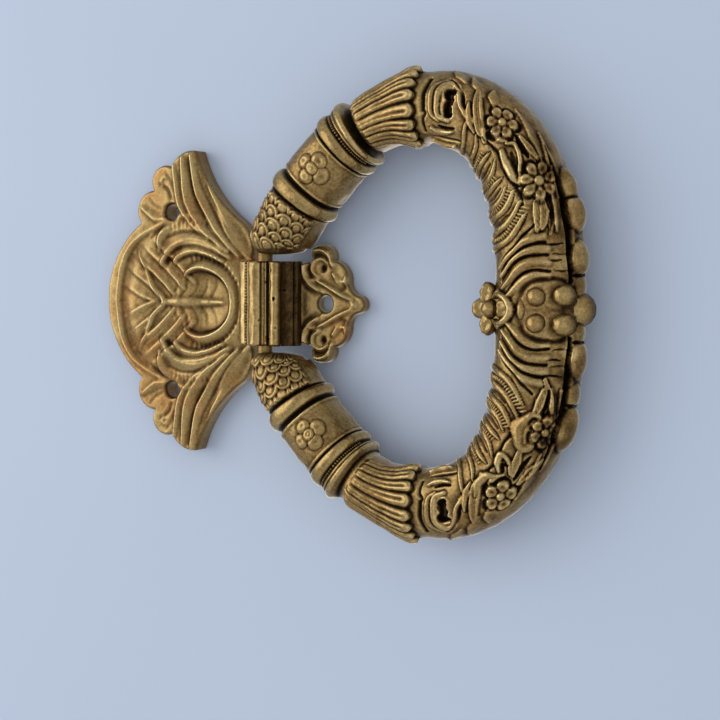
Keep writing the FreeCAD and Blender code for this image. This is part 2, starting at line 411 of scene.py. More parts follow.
# ornament that is the same on both halves: kind, path, width, height
ornament = dict(
    mouldings=(    # centre, half width, height, shape
        (9.75, 0.35, -0.35, "soft"), (11.2, 1.25, 0.62, "round"), (12.95, 0.55, -0.55, "soft"),
        (13.75, 0.22, 0.16, "round"), (21.35, 0.22, 0.2, "round"), (21.75, 0.3, -0.2, "soft"),
        (22.9, 1.05, 0.6, "round"), (24.35, 0.5, -0.42, "soft"), (25.1, 0.26, 0.32, "round"),
        (25.9, 0.55, 0.6, "round"), (27.3, 0.8, -0.75, "soft")),
    beadNeck=24.35,
    drumLobes=((1.75, 0.1, 1.35), (-1.75, 0.0, 1.2), (0.15, 1.95, 1.55), (-0.1, -1.75, 1.3)),
    cartouche=(
        ("cut", [(41.3, 132), (41.0, 112), (41.5, 100)], 1.0, -0.4),
        ("cut", [(41.1, 96), (40.9, 78), (41.2, 60), (41.5, 46)], 1.2, -0.5),
        ("ridge", [(44.5, 108), (42.9, 101), (42.3, 84), (42.5, 64), (44.2, 50)],
         (0.5, 0.9, 1.0, 0.9, 0.5), 0.3),
        ("ridge", [(46.5, 104), (44.4, 102), (43.55, 88), (43.5, 70), (44.4, 58), (45.8, 56), (46.7, 68),
                   (47.4, 80), (49.0, 88), (51.0, 90)], (0.8, 1.0, 1.1, 1.1, 1.1, 1.0, 0.8, 0.6), 0.5),
        ("cut", [(44.6, 46), (46.2, 58), (47.4, 72), (48.2, 82), (50.2, 84)], (0.5, 0.9, 0.9, 0.4), -0.5)),
    slotLip=((1.9, 2.5, 1.7, 1.5, 1.9, 2.6, 1.9), 0.28),
    slotHole=((0.7, 1.7, 1.3, 0.9, 1.4, 1.9, 0.9), -1.15),
    shoulder=(
        ("ridge", [(43.0, 121), (44.8, 125), (46.6, 122), (48.1, 116)], (0.5, 1.2, 1.1, 0.5), 0.5),
        ("cut", [(44.6, 116), (46.4, 116.5), (48.1, 111)], (0.5, 0.9, 0.4), -0.45),
        ("cut", [(43.2, 139), (46.5, 136), (50.2, 126)], (0.5, 1.1, 0.5), -0.5),
        ("swell", [(43.0, 148), (46.5, 153), (49.3, 141)], (1.0, 2.2, 0.9), 0.6),
        ("ridge", [(49.9, 96), (50.6, 112), (51.3, 128), (51.4, 150)], (0.6, 1.0, 1.1, 1.1), 0.45),
        ("fold", [(50.4, 34), (51.0, 46), (52.2, 58)], (0.7, 2.0, 0.7), 0.4),
        ("fold", [(47.0, 26), (48.4, 40), (49.8, 54)], (0.7, 2.4, 0.8), 0.4),
        ("fold", [(44.2, 20), (45.6, 32), (46.6, 44)], (0.7, 2.2, 0.8), 0.35)),
    longLeaves=(
        ([(48.8, 50), (49.5, 64), (50.6, 78), (52.4, 90), (54.8, 97)], (0.6, 1.35, 1.6, 1.4, 0.4), 0.6),
        ([(48.6, 74), (49.2, 84), (50.4, 93), (52.2, 99)], (0.4, 0.9, 0.9, 0.3), 0.42)),
    ribbonTop=("cut", [(53.4, 97), (55.0, 95), (58.0, 92), (61.0, 94), (64.0, 89.5), (67.0, 88)],
               (0.3, 0.5, 0.6, 0.6, 0.6, 0.3), -0.4),
    ribbons=(    # smooth ridges wound round the inner side
        [(54.6, 175), (54.7, 150), (54.5, 128), (53.9, 112), (52.6, 99)],
        [(57.9, 175), (57.9, 150), (57.3, 128), (56.9, 112), (56.7, 100)],
        [(61.3, 175), (61.3, 150), (60.8, 130), (60.0, 112), (58.2, 98)],
        [(63.0, 175), (63.0, 150), (62.6, 130), (62.0, 112), (61.6, 100)],
        [(66.2, 175), (66.2, 150), (65.8, 132), (64.9, 112), (63.2, 99)],
        [(68.1, 175), (68.1, 150), (67.6, 130), (66.9, 112), (65.6, 100), (64.2, 92)],
        [(70.9, 175), (70.9, 150), (70.2, 130), (69.4, 112), (68.0, 99), (66.2, 89)],
        [(73.3, 175), (73.3, 150), (72.8, 130), (72.0, 112), (70.6, 99), (68.4, 87)]),
    beadRows=(    # between the ribbons
        [(56.5, 165), (56.3, 128), (55.7, 106)],
        [(61.9, 165), (61.5, 126), (60.9, 108)],
        [(67.1, 165), (66.5, 126), (65.2, 106), (64.2, 97)],
        [(72.0, 165), (71.5, 124), (70.3, 108), (69.0, 96), (67.3, 84)]),
    ribbonShade=(
        [(59.4, 170), (59.2, 130), (58.4, 108)],
        [(64.5, 170), (64.2, 130), (63.2, 108)],
        [(69.5, 170), (69.0, 130), (67.9, 108)]),
    twig=("ridge", [(54.4, 84), (55.8, 83), (57.0, 77)], (0.5, 1.1, 0.5), 0.5),
    claspGrooves=(
        [(76.2, 134), (74.6, 118), (73.2, 103), (71.4, 90), (70.4, 80)],
        [(77.6, 131), (76.1, 118), (74.7, 104), (73.6, 92), (73.2, 80), (73.2, 68)],
        [(79.0, 128), (77.6, 117), (76.2, 106), (75.3, 95), (75.0, 85), (75.1, 66)],
        [(81.2, 121), (80.0, 112), (78.4, 100), (77.5, 90), (77.3, 82), (77.6, 64)]),
    claspBands=(
        [(76.8, 133), (75.3, 118), (73.9, 104), (72.5, 90), (72.2, 70)],
        [(78.3, 129), (76.9, 117), (75.5, 106), (74.5, 94), (74.1, 84), (74.1, 66)],
        [(80.2, 126), (78.8, 114), (77.3, 103), (76.3, 92), (76.0, 84), (76.2, 66)],
        [(81.8, 122), (81.0, 112), (79.4, 99), (78.4, 90), (78.0, 80), (78.2, 66)]),
    claspNicks=((73.4, 70, 42, 0.3), (74.9, 60, 34, 0.2), (75.8, 66, 46, 0.3), (77.4, 60, 32, 0.25)),
    podEdge=("cut", [(84.5, 103), (81.6, 99), (79.4, 88), (78.7, 62), (79.4, 36), (81.0, 26)], 1.3, -0.3),
    podSeats=(((81.3, 84), 1.75), ((81.1, 56), 1.95)),
    collar=("ridge", [(81.9, 150), (81.3, 136), (81.7, 122), (82.8, 113), (84.3, 110)], 1.3, 0.85),
    swagGap=("cut", [(60, 30), (66, 32), (71, 29), (75, 31), (79, 30)], (0.6, 2.2, 2.4, 2.0, 1.4), -1.35),
)


def turned(points):
    # (distance, turn in degrees) to (distance, skin length from the front crest)
    return [(s, (t - 90) * ring["perDegree"]) for s, t in points]


def carve(r, *strokes):
    for kind, path, width, height in strokes:
        r.stroke(turned(path), width, height, **strokeKinds[kind])


def drawScales(r, look):
    # overlapping round scales, free edges towards the collar
    a, b = r.a[:, None], r.b[None, :]
    fade = smooth(look["outer"] - 1.2, look["outer"], b)
    fade = fade * (1 - smooth(look["inner"], look["inner"] + 1.2, b))
    ground = np.zeros_like(r.h)
    for row in range(look["rows"]):
        s = look["first"] + row * look["rowStep"]
        for k in range(-6, 7):
            v = (k + 0.5 * (row % 2)) * look["wide"] + look["lean"] * row
            along, across = (a - s) / look["long"], (b - v) / (look["wide"] * 0.56)
            reach = np.where(along > 0, np.hypot(along, across), np.abs(across))
            tile = 0.10 + 0.62 * smooth(-1.3, 0.8, along)
            tile = tile - 0.22 * np.exp(-((reach - 0.58) / 0.13) ** 2) * (along > -0.5)
            tile = tile * np.clip(1 - reach ** 8, 0, 1) ** 0.5
            ground = np.maximum(ground, np.where((reach < 1) & (along > -1.9) & (along < 1), tile, 0))
    end = smooth(-0.2, 0.8, a) * (1 - smooth(look["last"] - 0.5, look["last"], a))
    r.h += (ground - 0.05) * fade * end


def ringBand(r, centre, half, height, shape="round"):
    # a moulding that runs right round the ring
    i, j, a, b = r.patch(centre - half, centre + half, -99, 99)
    away = np.abs(a - centre) / half + 0 * b
    r.lay(i, j, away, height, shape, "add", 0)


def drawFlower(r, at, size, petals, height, spin):
    # flat petals with rolled tips, cut apart and veined, round a small boss
    boss = 0.26
    (s, v), = turned([at])
    reach = size * 1.3
    i, j, a, b = r.patch(s - reach, s + reach, v - reach, v + reach)
    far, way = np.hypot(a - s, b - v), np.arctan2(b - v, a - s) - spin
    phase = np.abs(np.cos(way * petals / 2))
    edge = size * (0.70 + 0.30 * phase ** 0.7)
    near = far / edge
    rolled = np.exp(-((near - 0.82) / 0.13) ** 2)
    rolled = rolled + 0.5 * np.exp(-((phase - 0.35) / 0.18) ** 2) * (near < 0.9)
    petal = height * np.clip(1 - near ** 6, 0, 1) ** 0.5 * (0.5 + 0.42 * np.clip(rolled, 0, 1))
    swing = np.arccos(np.clip(phase, 0, 1))
    cut = np.exp(-((swing - math.pi / 2) * far / petals / 0.13) ** 2)
    vein = np.exp(-(swing * far / petals / 0.16) ** 2) * (near > 0.45)
    petal = petal - height * (0.55 * cut + 0.16 * vein) * (near < 0.97)
    moat = -0.28 * np.exp(-((near - 1.1) / 0.13) ** 2)
    here = r.h[i, j]
    np.copyto(here, np.where(near < 1, np.maximum(here * 0.3, 0) + petal, here + moat))
    r.dome((s, v), size * (boss + 0.1), 0, shape="flat", how="press", floor=height * 0.3)
    r.dome((s, v), size * boss, height * 0.75, floor=height * 0.3)


def drawLeaf(r, points, width, height):
    # cut free of the ground, rim raised, hollowed, with a thin vein
    path = turned(points)
    width = np.array(width)
    r.stroke(path, width + 0.7, -0.22, "soft", "add")
    r.stroke(path, width * 1.1, height)
    if width.max() > 1.0:
        r.stroke(path, width * 0.7, -0.62 * height, "soft", "add")
        r.stroke(path, width * 0.2, 0.3 * height, "soft", "add")


def drawDrumFlower(r, at):
    # round petals laid on the drum, the ground cut in round them
    (s, v), = turned([at])
    petals = [((s + ds, v + dv), (s + ds * 1.05, v + dv * 1.05), size)
              for ds, dv, size in ornament["drumLobes"]]
    for centre, _, size in petals:
        r.dome(centre, size + 0.45, -0.42, shape="soft", how="add")
    for centre, _, size in petals:
        r.dome(centre, size, 0.42, floor=-0.08)
    for _, dimple, size in petals:
        r.dome(dimple, size * 0.5, -0.13, shape="soft", how="add")
    r.dome((s, v), 1.22, 0, shape="flat", how="press", floor=0.05)
    r.dome((s, v), 0.98, 0.42, floor=0.08)
    r.dome((s, v), 0.66, -0.3, shape="soft", how="add")
    r.dome((s, v), 0.36, 0.3, shape="soft", how="add")


def drawHorn(r, edges):
    # flutes between these turns, swelling towards their rounded ends
    a, b = r.a[:, None], r.b[None, :]
    flutes = np.zeros_like(r.h)
    for pair in zip(edges, edges[1:]):
        low, high = (v for _, v in turned([(0, turn) for turn in pair]))
        spread = 0.80 + 0.20 * smooth(28, 38, a)
        centre, half = (low + high) / 2, (high - low) / 2
        across = np.abs(b - centre * spread) / (half * spread)
        endAt = 39.7 - 0.9 * across ** 2
        body = np.sqrt(np.clip(1 - across ** 2.4, 0, 1)) * (0.55 + 0.45 * smooth(33, 38.5, a))
        hollowed = 0.30 * np.exp(-(across / 0.24) ** 2) * (0.35 + 0.65 * smooth(30, 37, a))
        hollowed = hollowed * (1 - smooth(37.6, 38.8, a))
        ends = (1 - smooth(endAt - 0.55, endAt, a)) * smooth(27.6, 29, a)
        flutes = np.maximum(flutes, (body - hollowed) * ends)
    turn = r.b / ring["perDegree"] + 90
    front = smooth(-20, 10, turn) * (1 - smooth(185, 215, turn))
    r.h += flutes * 0.95 * front[None, :]


def drawRibbons(r):
    carve(r, ornament["ribbonTop"])
    for path in ornament["ribbons"]:
        carve(r, ("cut", path, (2.1, 2.1, 2.0, 1.6, 0.6), -0.42),
              ("rope", path, (1.35, 1.35, 1.25, 1.0, 0.3), 0.36))
    for path in ornament["beadRows"]:
        r.beads(turned(path), 0.54, (0.21, 0.62), 0.46, floor=-0.2)
    for path in ornament["ribbonShade"]:
        carve(r, ("cut", path, (1.1, 1.2, 0.5), -0.22))


def drawGarland(r, look):
    # leaves and flowers over the outer half
    carve(r, ornament["twig"])
    for leaf in look["leaves"]:
        drawLeaf(r, *leaf)
    for path, width, height in look["folds"]:
        carve(r, ("fold", path, width, height))
    for path, width, depth in look["leafCuts"]:
        carve(r, ("cut", path, width, -depth))
    for flower in look["flowers"]:
        drawFlower(r, *flower)


def drawClasp(r):
    # curved bands beside the pods, seats for the berries, a collar for the rosette's stem
    for path in ornament["claspGrooves"]:
        carve(r, ("cut", path, (0.3, 0.45, 0.5, 0.5, 0.5), -0.5))
    for path in ornament["claspBands"]:
        carve(r, ("cut", path, (0.8, 1.6, 1.8, 1.8, 1.6), 0.42))
    for s, upper, lower, depth in ornament["claspNicks"]:
        path = [(s, upper), (s + 0.2, (upper + lower) / 2), (s + 0.1, lower)]
        carve(r, ("cut", path, (0.2, 0.5, 0.2), -depth))
    carve(r, ornament["podEdge"])
    r.dome(turned([(83.6, 66)])[0], (4.3, 4.6), -0.7, shape="soft", how="add")
    for at, size in ornament["podSeats"]:
        (c,) = turned([at])
        r.dome(c, size + 0.65, 0.34, shape="soft", how="add")
        r.dome(c, size + 0.3, -0.85, shape="soft", how="add")
    carve(r, ornament["collar"])
    r.dome(turned([(83.6, 127)])[0], (1.2, 1.6), -0.9, shape="soft", how="add")


def drawSwag(r, look):
    # a dark gap, and a scalloped swag along the outer edge
    carve(r, ornament["swagGap"])
    for at, size, height in look["scallops"]:
        r.dome(turned([at])[0], size, height, floor=-0.3)
    for path in look["scallopCuts"]:
        carve(r, ("cut", path, 0.7, -0.4))


def drawHalf(look, s, v):
    # the tip end's mouldings sit nearer the tip on one side than on the other
    r = Relief(s + look["slip"] * (1 - smooth(24, 38, s)), v)
    drawScales(r, look["scales"])
    for moulding in ornament["mouldings"]:
        ringBand(r, *moulding)
    neck = ornament["beadNeck"]
    r.beads(turned([(neck, 20), (neck, 165)]), 0.55, 0.25, 0.42, floor=-0.38)
    drawDrumFlower(r, look["drumFlower"])
    drawHorn(r, look["fluteEdges"])
    carve(r, *ornament["cartouche"])
    width, height = ornament["slotLip"]
    r.stroke(turned(look["slot"]), width, height, "soft", "add")
    width, height = ornament["slotHole"]
    r.stroke(turned(look["slot"]), width, 0, "flat", "press", floor=height)
    carve(r, *ornament["shoulder"])
    for leaf in ornament["longLeaves"]:
        drawLeaf(r, *leaf)
    drawRibbons(r)
    drawGarland(r, look)
    drawClasp(r)
    drawSwag(r, look)
    return r.h


wholePath = ring["path"] + [(-x, z) for x, z in ring["path"][-2::-1]]
_, ringLength = splineThrough(wholePath, 2)
rowCount = 2 * int(round(ringLength / 2 / ring["step"])) + 1
ringLine, ringLength = splineThrough(wholePath, rowCount)
distance = np.linspace(0, ringLength, rowCount)
halfRows = rowCount // 2 + 1
frontFrom, frontTo = ring["frontTurns"]
turns = np.concatenate([np.arange(ring["firstTurn"], frontFrom, ring["backStep"]),
                        np.arange(frontFrom, frontTo, ring["frontStep"]),
                        np.arange(frontTo, ring["lastTurn"], ring["backStep"])])
skin = (turns - 90) * ring["perDegree"]

# what differs between the two halves
sideLooks = {
    "right": dict(
        slip=0.0, drumFlower=(17.3, 92),
        scales=dict(rows=5, first=1.2, rowStep=1.8, long=1.45, wide=2.8, lean=0.0,
                    outer=-4.6, inner=6.2, last=9.5),
        fluteEdges=(12, 31, 50, 69, 87, 106, 126, 147, 170),
        slot=((46.7, 96), (45.9, 94), (45.4, 87), (46.0, 82), (45.4, 77), (45.2, 71), (46.0, 66)),
        flowers=(((54.3, 66), 2.5, 6, 0.75, 0.3), ((64.2, 60), 3.0, 7, 0.85, 0.2)),
        leaves=(
            ([(57.6, 88), (60.0, 90), (62.4, 88.5), (63.8, 86)], (0.5, 0.9, 0.8, 0.3), 0.6),
            ([(57.2, 79), (58.0, 70), (60.2, 73), (61.6, 79), (63.8, 86)], (0.4, 0.7, 0.7, 0.6, 0.3), 0.5),
            ([(67.0, 72), (68.6, 72), (70.2, 74), (71.4, 77)], (0.8, 1.5, 1.2, 0.4), 0.5),
            ([(66.9, 63), (68.6, 64), (70.2, 67), (71.2, 71)], (0.7, 1.4, 1.2, 0.4), 0.55),
            ([(57.4, 58), (59.4, 55), (61.2, 50)], (0.6, 1.2, 0.5), 0.45),
        ),
        leafCuts=(
            ([(58.8, 80), (60.6, 82), (62.0, 84.5)], (0.8, 1.5, 0.5), 0.3),
            ([(56.8, 62), (58.6, 64), (60.4, 62)], (0.6, 1.6, 0.6), 0.5),
            ([(66.8, 52), (69.6, 56), (72.0, 62)], (0.6, 1.2, 0.6), 0.5),
        ),
        folds=(
            ([(54.0, 34), (58.0, 38), (62.0, 44)], (0.6, 2.2, 0.8), 0.4),
            ([(58.0, 26), (62.5, 31), (67.0, 38)], (0.6, 2.6, 0.8), 0.5),
            ([(63.0, 36), (67.0, 41), (71.6, 50)], (0.8, 2.4, 0.8), 0.6),
            ([(66.4, 48), (69.0, 52), (72.0, 60)], (0.6, 1.8, 0.7), 0.5),
        ),
        scallops=(((65.6, 9), (2.6, 2.1), 1.5), ((69.2, 7), (3.0, 2.3), 1.8), ((75.9, 9), (2.9, 2.2), 1.6),
                  ((79.8, 8), (2.0, 1.9), 1.0)),
        scallopCuts=([(67.3, 26), (67.5, -8)], [(78.3, 24), (78.2, -8)]),
    ),
    "left": dict(
        slip=1.15, drumFlower=(17.35, 95),
        scales=dict(rows=5, first=1.4, rowStep=1.8, long=1.45, wide=2.8, lean=0.15,
                    outer=-4.4, inner=6.0, last=9.5),
        fluteEdges=(10, 30, 50, 69, 88, 107, 127, 148, 170),
        slot=((46.0, 93), (45.2, 90), (45.0, 85), (45.6, 82), (45.0, 78), (44.8, 73), (45.6, 69)),
        flowers=(((54.2, 60), 2.6, 5, 0.8, 0.55), ((65.3, 50), 2.5, 6, 0.8, 0.1)),
        leaves=(
            ([(51.4, 84), (53.0, 92), (55.0, 92), (56.0, 85)], (0.5, 1.0, 1.0, 0.5), 0.5),
            ([(57.0, 84), (58.0, 90), (59.6, 91), (59.2, 80), (57.6, 70)], (0.5, 0.8, 0.8, 0.7, 0.4), 0.5),
            ([(57.8, 66), (59.6, 70), (61.8, 74)], (0.8, 1.5, 0.6), 0.5),
            ([(67.8, 70), (69.4, 67), (71.2, 64)], (1.0, 1.5, 1.1), 0.75),
            ([(68.4, 50), (70.4, 56), (73.0, 66)], (0.7, 1.2, 0.5), 0.5),
            ([(67.0, 28), (69.0, 34), (71.5, 40)], (0.9, 1.5, 0.6), 0.6),
            ([(57.0, 52), (59.4, 46), (61.4, 36)], (0.6, 1.3, 0.6), 0.45),
            ([(63.0, 72), (64.8, 75), (66.6, 70)], (3.0, 3.8, 2.6), 0.8),    # the second flower's big petal
        ),
        leafCuts=(
            ([(57.4, 80), (58.2, 84), (58.6, 78)], (0.6, 0.9, 0.5), 0.35),
            ([(57.2, 60), (59.4, 60), (61.2, 56)], (0.6, 1.6, 0.6), 0.5),
            ([(67.6, 60), (69.6, 59), (71.4, 58)], (0.4, 0.8, 0.4), 0.6),
        ),
        folds=(
            ([(55.0, 36), (58.5, 38), (62.0, 42)], (0.6, 2.2, 0.8), 0.4),
            ([(60.0, 28), (64.0, 30), (68.0, 36)], (0.6, 2.4, 0.8), 0.5),
            ([(66.6, 40), (69.0, 46), (71.6, 54)], (0.8, 2.2, 0.7), 0.55),
        ),
        scallops=(((66.2, 8), (3.4, 2.4), 1.9), ((70.8, 8), (2.0, 1.9), 1.0), ((76.0, 9), (3.1, 2.2), 1.5),
                  ((79.9, 8), (1.8, 1.8), 0.9)),
        scallopCuts=([(69.5, 24), (69.4, -8)], [(78.6, 24), (78.5, -8)]),
    ),
}
halves = {side: drawHalf(look, distance[:halfRows], skin) for side, look in sideLooks.items()}
ringRelief = Relief(distance, skin)
ringRelief.h = np.concatenate([halves["right"], halves["left"][::-1][1:]])
print("ring ornament drawn", ringRelief.h.shape)

sectionAt = np.minimum(distance, ringLength - distance)
widths, depths = (np.interp(sectionAt, *np.array(ring["sections"])[:, [0, k]].T) for k in (1, 2))
along = np.gradient(ringLine, distance, axis=0)
along /= np.linalg.norm(along, axis=1)[:, None]
across = np.stack([-along[:, 1], along[:, 0]], 1)
angle = np.radians(turns)
cosine, sine = np.cos(angle), np.sin(angle)
sideways = np.sign(cosine) * np.abs(cosine) ** ring["sideFull"]
outwards = np.sign(sine) * np.abs(sine) ** np.where(sine > 0, ring["frontFull"], ring["backFull"])
sideReach = sideways[None, :] * widths[:, None] / 2
skinX = ringLine[:, :1] + across[:, :1] * sideReach
skinZ = ringLine[:, 1:] + across[:, 1:] * sideReach
skinH = ring["middle"] + outwards[None, :] * depths[:, None] / 2
skinSpots = np.stack([skinX, skinH, skinZ], -1)
wrapped = np.concatenate([skinSpots[:, -1:], skinSpots, skinSpots[:, :1]], 1)
wayRound = wrapped[:, 2:] - wrapped[:, :-2]
wayAlong = np.gradient(skinSpots, axis=0)
skinNormal = np.cross(wayRound, wayAlong)
skinNormal /= np.linalg.norm(skinNormal, axis=2)[..., None]
if (skinNormal[:, :, 1] * outwards[None, :]).sum() < 0:
    skinNormal = -skinNormal
castAt = np.moveaxis(skinSpots, -1, 0)
ringRelief.h += lumps(*castAt, 2.6, 0.045) + lumps(*castAt, 0.9, 0.012)
backFlat = smooth(-0.9, -0.4, outwards)[None, :]
ringSpots = skinSpots + skinNormal * (ringRelief.h * (0.15 + 0.85 * backFlat))[..., None]
ringSpots[..., 1] = np.maximum(ringSpots[..., 1], ring["lowest"])

hollow, worn = ringRelief.shade(ring["step"], ring["frontStep"] * ring["perDegree"])
# painted shade low down towards the door, and painted shade on the outer side of the ring's lower part, under
# the swag
hollow = hollow + 0.35 * smooth(5.0, 1.5, ringSpots[..., 1])
swagShade = np.exp(-((turns - 34) / 20) ** 2)[None, :] * smooth(52, 68, sectionAt)[:, None]
swagShade = swagShade * (0.75 + lumps(*castAt, 3.0, 0.5))
hollow = np.clip(hollow + np.clip(swagShade, 0, 1) * 0.65, 0, 1)


def roundedTip(end, way):
    # rows that close an end of the ring, and its last point
    out = np.array([along[end, 0], 0, along[end, 1]]) * way
    centre = ringSpots[end].mean(0)
    rows = [centre + (ringSpots[end] - centre) * share + out * far for share, far in ring["tips"]]
    return np.stack(rows), centre + out * ring["tipOut"]


startRows, startPoint = roundedTip(0, -1)
endRows, endPoint = roundedTip(-1, 1)
allRows = np.concatenate([startRows[::-1], ringSpots, endRows])
extra = len(ring["tips"])
marks = [np.concatenate([m[:1]] * extra + [m] + [m[-1:]] * extra).ravel() for m in (hollow, worn)]
marks = [np.append(m, [0.3, 0.3]) for m in marks]
rows, columns = allRows.shape[:2]
count = rows * columns
spots = np.concatenate([allRows.reshape(-1, 3), [startPoint, endPoint]])
tips = np.concatenate([fan(0, columns, count, flip=True), fan(count - columns, columns, count + 1)])
ringPiece = makeMesh("ring_casting", spots, gridFaces(rows, columns, wrap=True), marks, tris=tips)
ringPiece.data.materials.append(castGilt)
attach(ringPiece, "ring")
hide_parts("drop_ring")
print("ring casting", len(spots), "points")


# Berries and rosette at the middle of the ring.

def ballSpots(centre, size, rows=26, columns=40, lumpy=0.03, cup=0.0):
    # a slightly uneven ball as one closed grid, its front hollowed by cup
    theta = np.linspace(0, math.pi, rows)[1:-1, None]
    phi = np.linspace(0, 2 * math.pi, columns, endpoint=False)[None, :]
    unit = np.stack([np.sin(theta) * np.cos(phi), np.cos(theta) + 0 * phi, np.sin(theta) * np.sin(phi)], -1)
    flat = np.concatenate([unit.reshape(-1, 3), [[0, 1, 0], [0, -1, 0]]])
    out = flat * size
    out[:, 1] -= cup * size[1] * np.exp(-(np.arccos(np.clip(flat[:, 1], -1, 1)) / 0.62) ** 2)
    out += centre
    out += flat * lumps(*out.T, 1.2, lumpy)[:, None]
    n = (rows - 2) * columns
    tips = np.concatenate([fan(0, columns, n), fan(n - columns, columns, n + 1, flip=True)])
    return out, gridFaces(rows - 2, columns, wrap=True, flip=True), tips


def ballCluster(name, balls):
    spots, quads, tris, hollows, worns = [], [], [], [], []
    first = 0
    for ball in balls:
        out, q, t = ballSpots(**ball)
        spots.append(out)
        quads.append(q + first)
        tris.append(t + first)
        first += len(out)
        height = (out[:, 1] - out[:, 1].mean()) / np.ptp(out[:, 1])
        # each ball's side towards the door is painted darker, a painted shade; its most proud cap is rubbed
        # bright
        hollows.append(smooth(0.3, -0.3, height))
        worns.append(smooth(0.25, 0.5, height) * 0.35)
    marks = [np.concatenate(hollows), np.concatenate(worns)]
    piece = makeMesh(name, np.concatenate(spots), np.concatenate(quads), marks, tris=np.concatenate(tris))
    piece.data.materials.append(castGilt)
    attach(piece, "ring")
    return piece


berries = dict(
    pod=[((2.1, 10.5, -53.0), 1.7), ((-2.15, 10.5, -53.0), 1.74),
         ((2.35, 8.9, -57.0), 2.0), ((-2.35, 8.9, -57.0), 2.05)],
    bottom=((0, 5.6, -58.3), 2.9),
)
balls = [dict(centre=centre, size=np.full(3, radius)) for centre, radius in berries["pod"]]
centre, radius = berries["bottom"]
balls.append(dict(centre=centre, size=np.full(3, radius), rows=40, columns=60))
ballCluster("clasp_berries", balls)

rosette = dict(
    centre=(0, 9.9, -44.7), boss=1.4,
    petals=[((0, 7.6, -42.5), (1.75, 1.9, 1.7)), ((2.5, 8.4, -43.9), (1.9, 1.7, 1.35)),
            ((-2.5, 8.4, -43.9), (1.9, 1.7, 1.35)), ((1.9, 8.9, -46.2), (1.5, 1.5, 1.2)),
            ((-1.9, 8.9, -46.2), (1.5, 1.5, 1.2)), ((0, 9.5, -47.2), (1.7, 1.5, 1.6))],
    stem=((0, 10.9, -50.7), (1.8, 1.0, 0.85)),
)
balls = [dict(centre=rosette["centre"], size=np.full(3, rosette["boss"]))]
balls += [dict(centre=centre, size=size, lumpy=0.09, cup=0.42) for centre, size in rosette["petals"]]
balls.append(dict(centre=rosette["stem"][0], size=rosette["stem"][1]))
ballCluster("clasp_rosette", balls)
print("berries and rosette")


# Shell plate: a height field over its outline, with walls and a flat back.

plate = dict(
    step=0.17, thick=2.8, shell=4.2,
    crest=(0, 18.5), crestRadius=17.5,
    outline=[((9.9, 32.93), (14.5, 28.3)), ((17.9, 28.9), (20.5, 25.4)), ((23.8, 25.3), (24.8, 21.5)),
             ((27.0, 19.6), (27.6, 16.2)), ((20.6, 12.8), (14.6, 6.8)), ((11.4, 4.6), (8.3, 4.2)),
             (None, (7.2, 3.2)), (None, (7.2, -6.0)), (None, (7.6, -7.6)), ((10.5, -9.7), (7.8, -11.8)),
             ((6.6, -13.9), (3.7, -14.8)), ((2.4, -15.4), (1.5, -16.8)), ((0.9, -17.7), (0.0, -18.0))],
    holes=[(16.5, 21.4), (-16.5, 21.4), (0.0, -10.2)], holeRadius=1.5,
    baseLine=-1.4,     # the leaves are drawn from a line this far from the hinge axis
    lineWide=1.15, lineHigh=0.58,    # how a ridge's width and height are eased
    deepest=-1.35, highest=2.7,      # limits of the carving over the plate's thickness
    edgeRound=0.55,                  # rounding of the front edge
    edgeCapReach=0.6, edgeHollowCap=0.2,  # the painted shade and patina stay light near an open edge
    seam=0.3,                        # the two halves blend over this much each way
    seat=dict(half=7.4, low=-5.9, high=5.5, level=2.78),    # flat place under the knuckle
    rimLow=1.7, wallLevels=(0.82, 0.45, 0.0), wallShades=(0.15, 0.25, 0.35), backMark=0.3,
)


def arcThrough(a, b, c, step):
    # points along the arc from a through b to c
    a, b, c = (complex(*p) for p in (a, b, c))
    w = (c - a) / (b - a)
    centre = a - (a - b) * (w - abs(w) ** 2) / (2j * w.imag)
    radius = abs(a - centre)
    start, full = np.angle(a - centre), np.angle((c - centre) / (a - centre))
    mid = np.angle((b - centre) / (a - centre))
    if full * mid < 0 or abs(mid) > abs(full):
        full -= math.copysign(2 * math.pi, full)
    n = max(3, int(abs(full) * radius / step))
    spots = centre + radius * np.exp(1j * (start + np.linspace(0, full, n + 1)))
    return np.stack([spots.real, spots.imag], 1)


def traced(at, steps, gap):
    # a line of arcs, and of straight runs with points about this far apart
    line = [np.array([at])]
    for via, end in steps:
        if via:
            run = arcThrough(at, via, end, 0.12)
        else:
            run = np.linspace(at, end, max(2, int(math.dist(at, end) / gap)) + 1)
        line.append(run[1:])
        at = end
    return np.concatenate(line)


def outlineLoop():
    right = traced((0.0, plate["crest"][1] + plate["crestRadius"]), plate["outline"], 0.15)
    return np.concatenate([right, (right * (-1, 1))[-2:0:-1]])


loop = outlineLoop()
xs = np.arange(-28.2, 28.21, plate["step"])
zs = np.arange(-18.4, 36.4, plate["step"])
gridX, gridZ = (g.T for g in np.meshgrid(xs, zs))
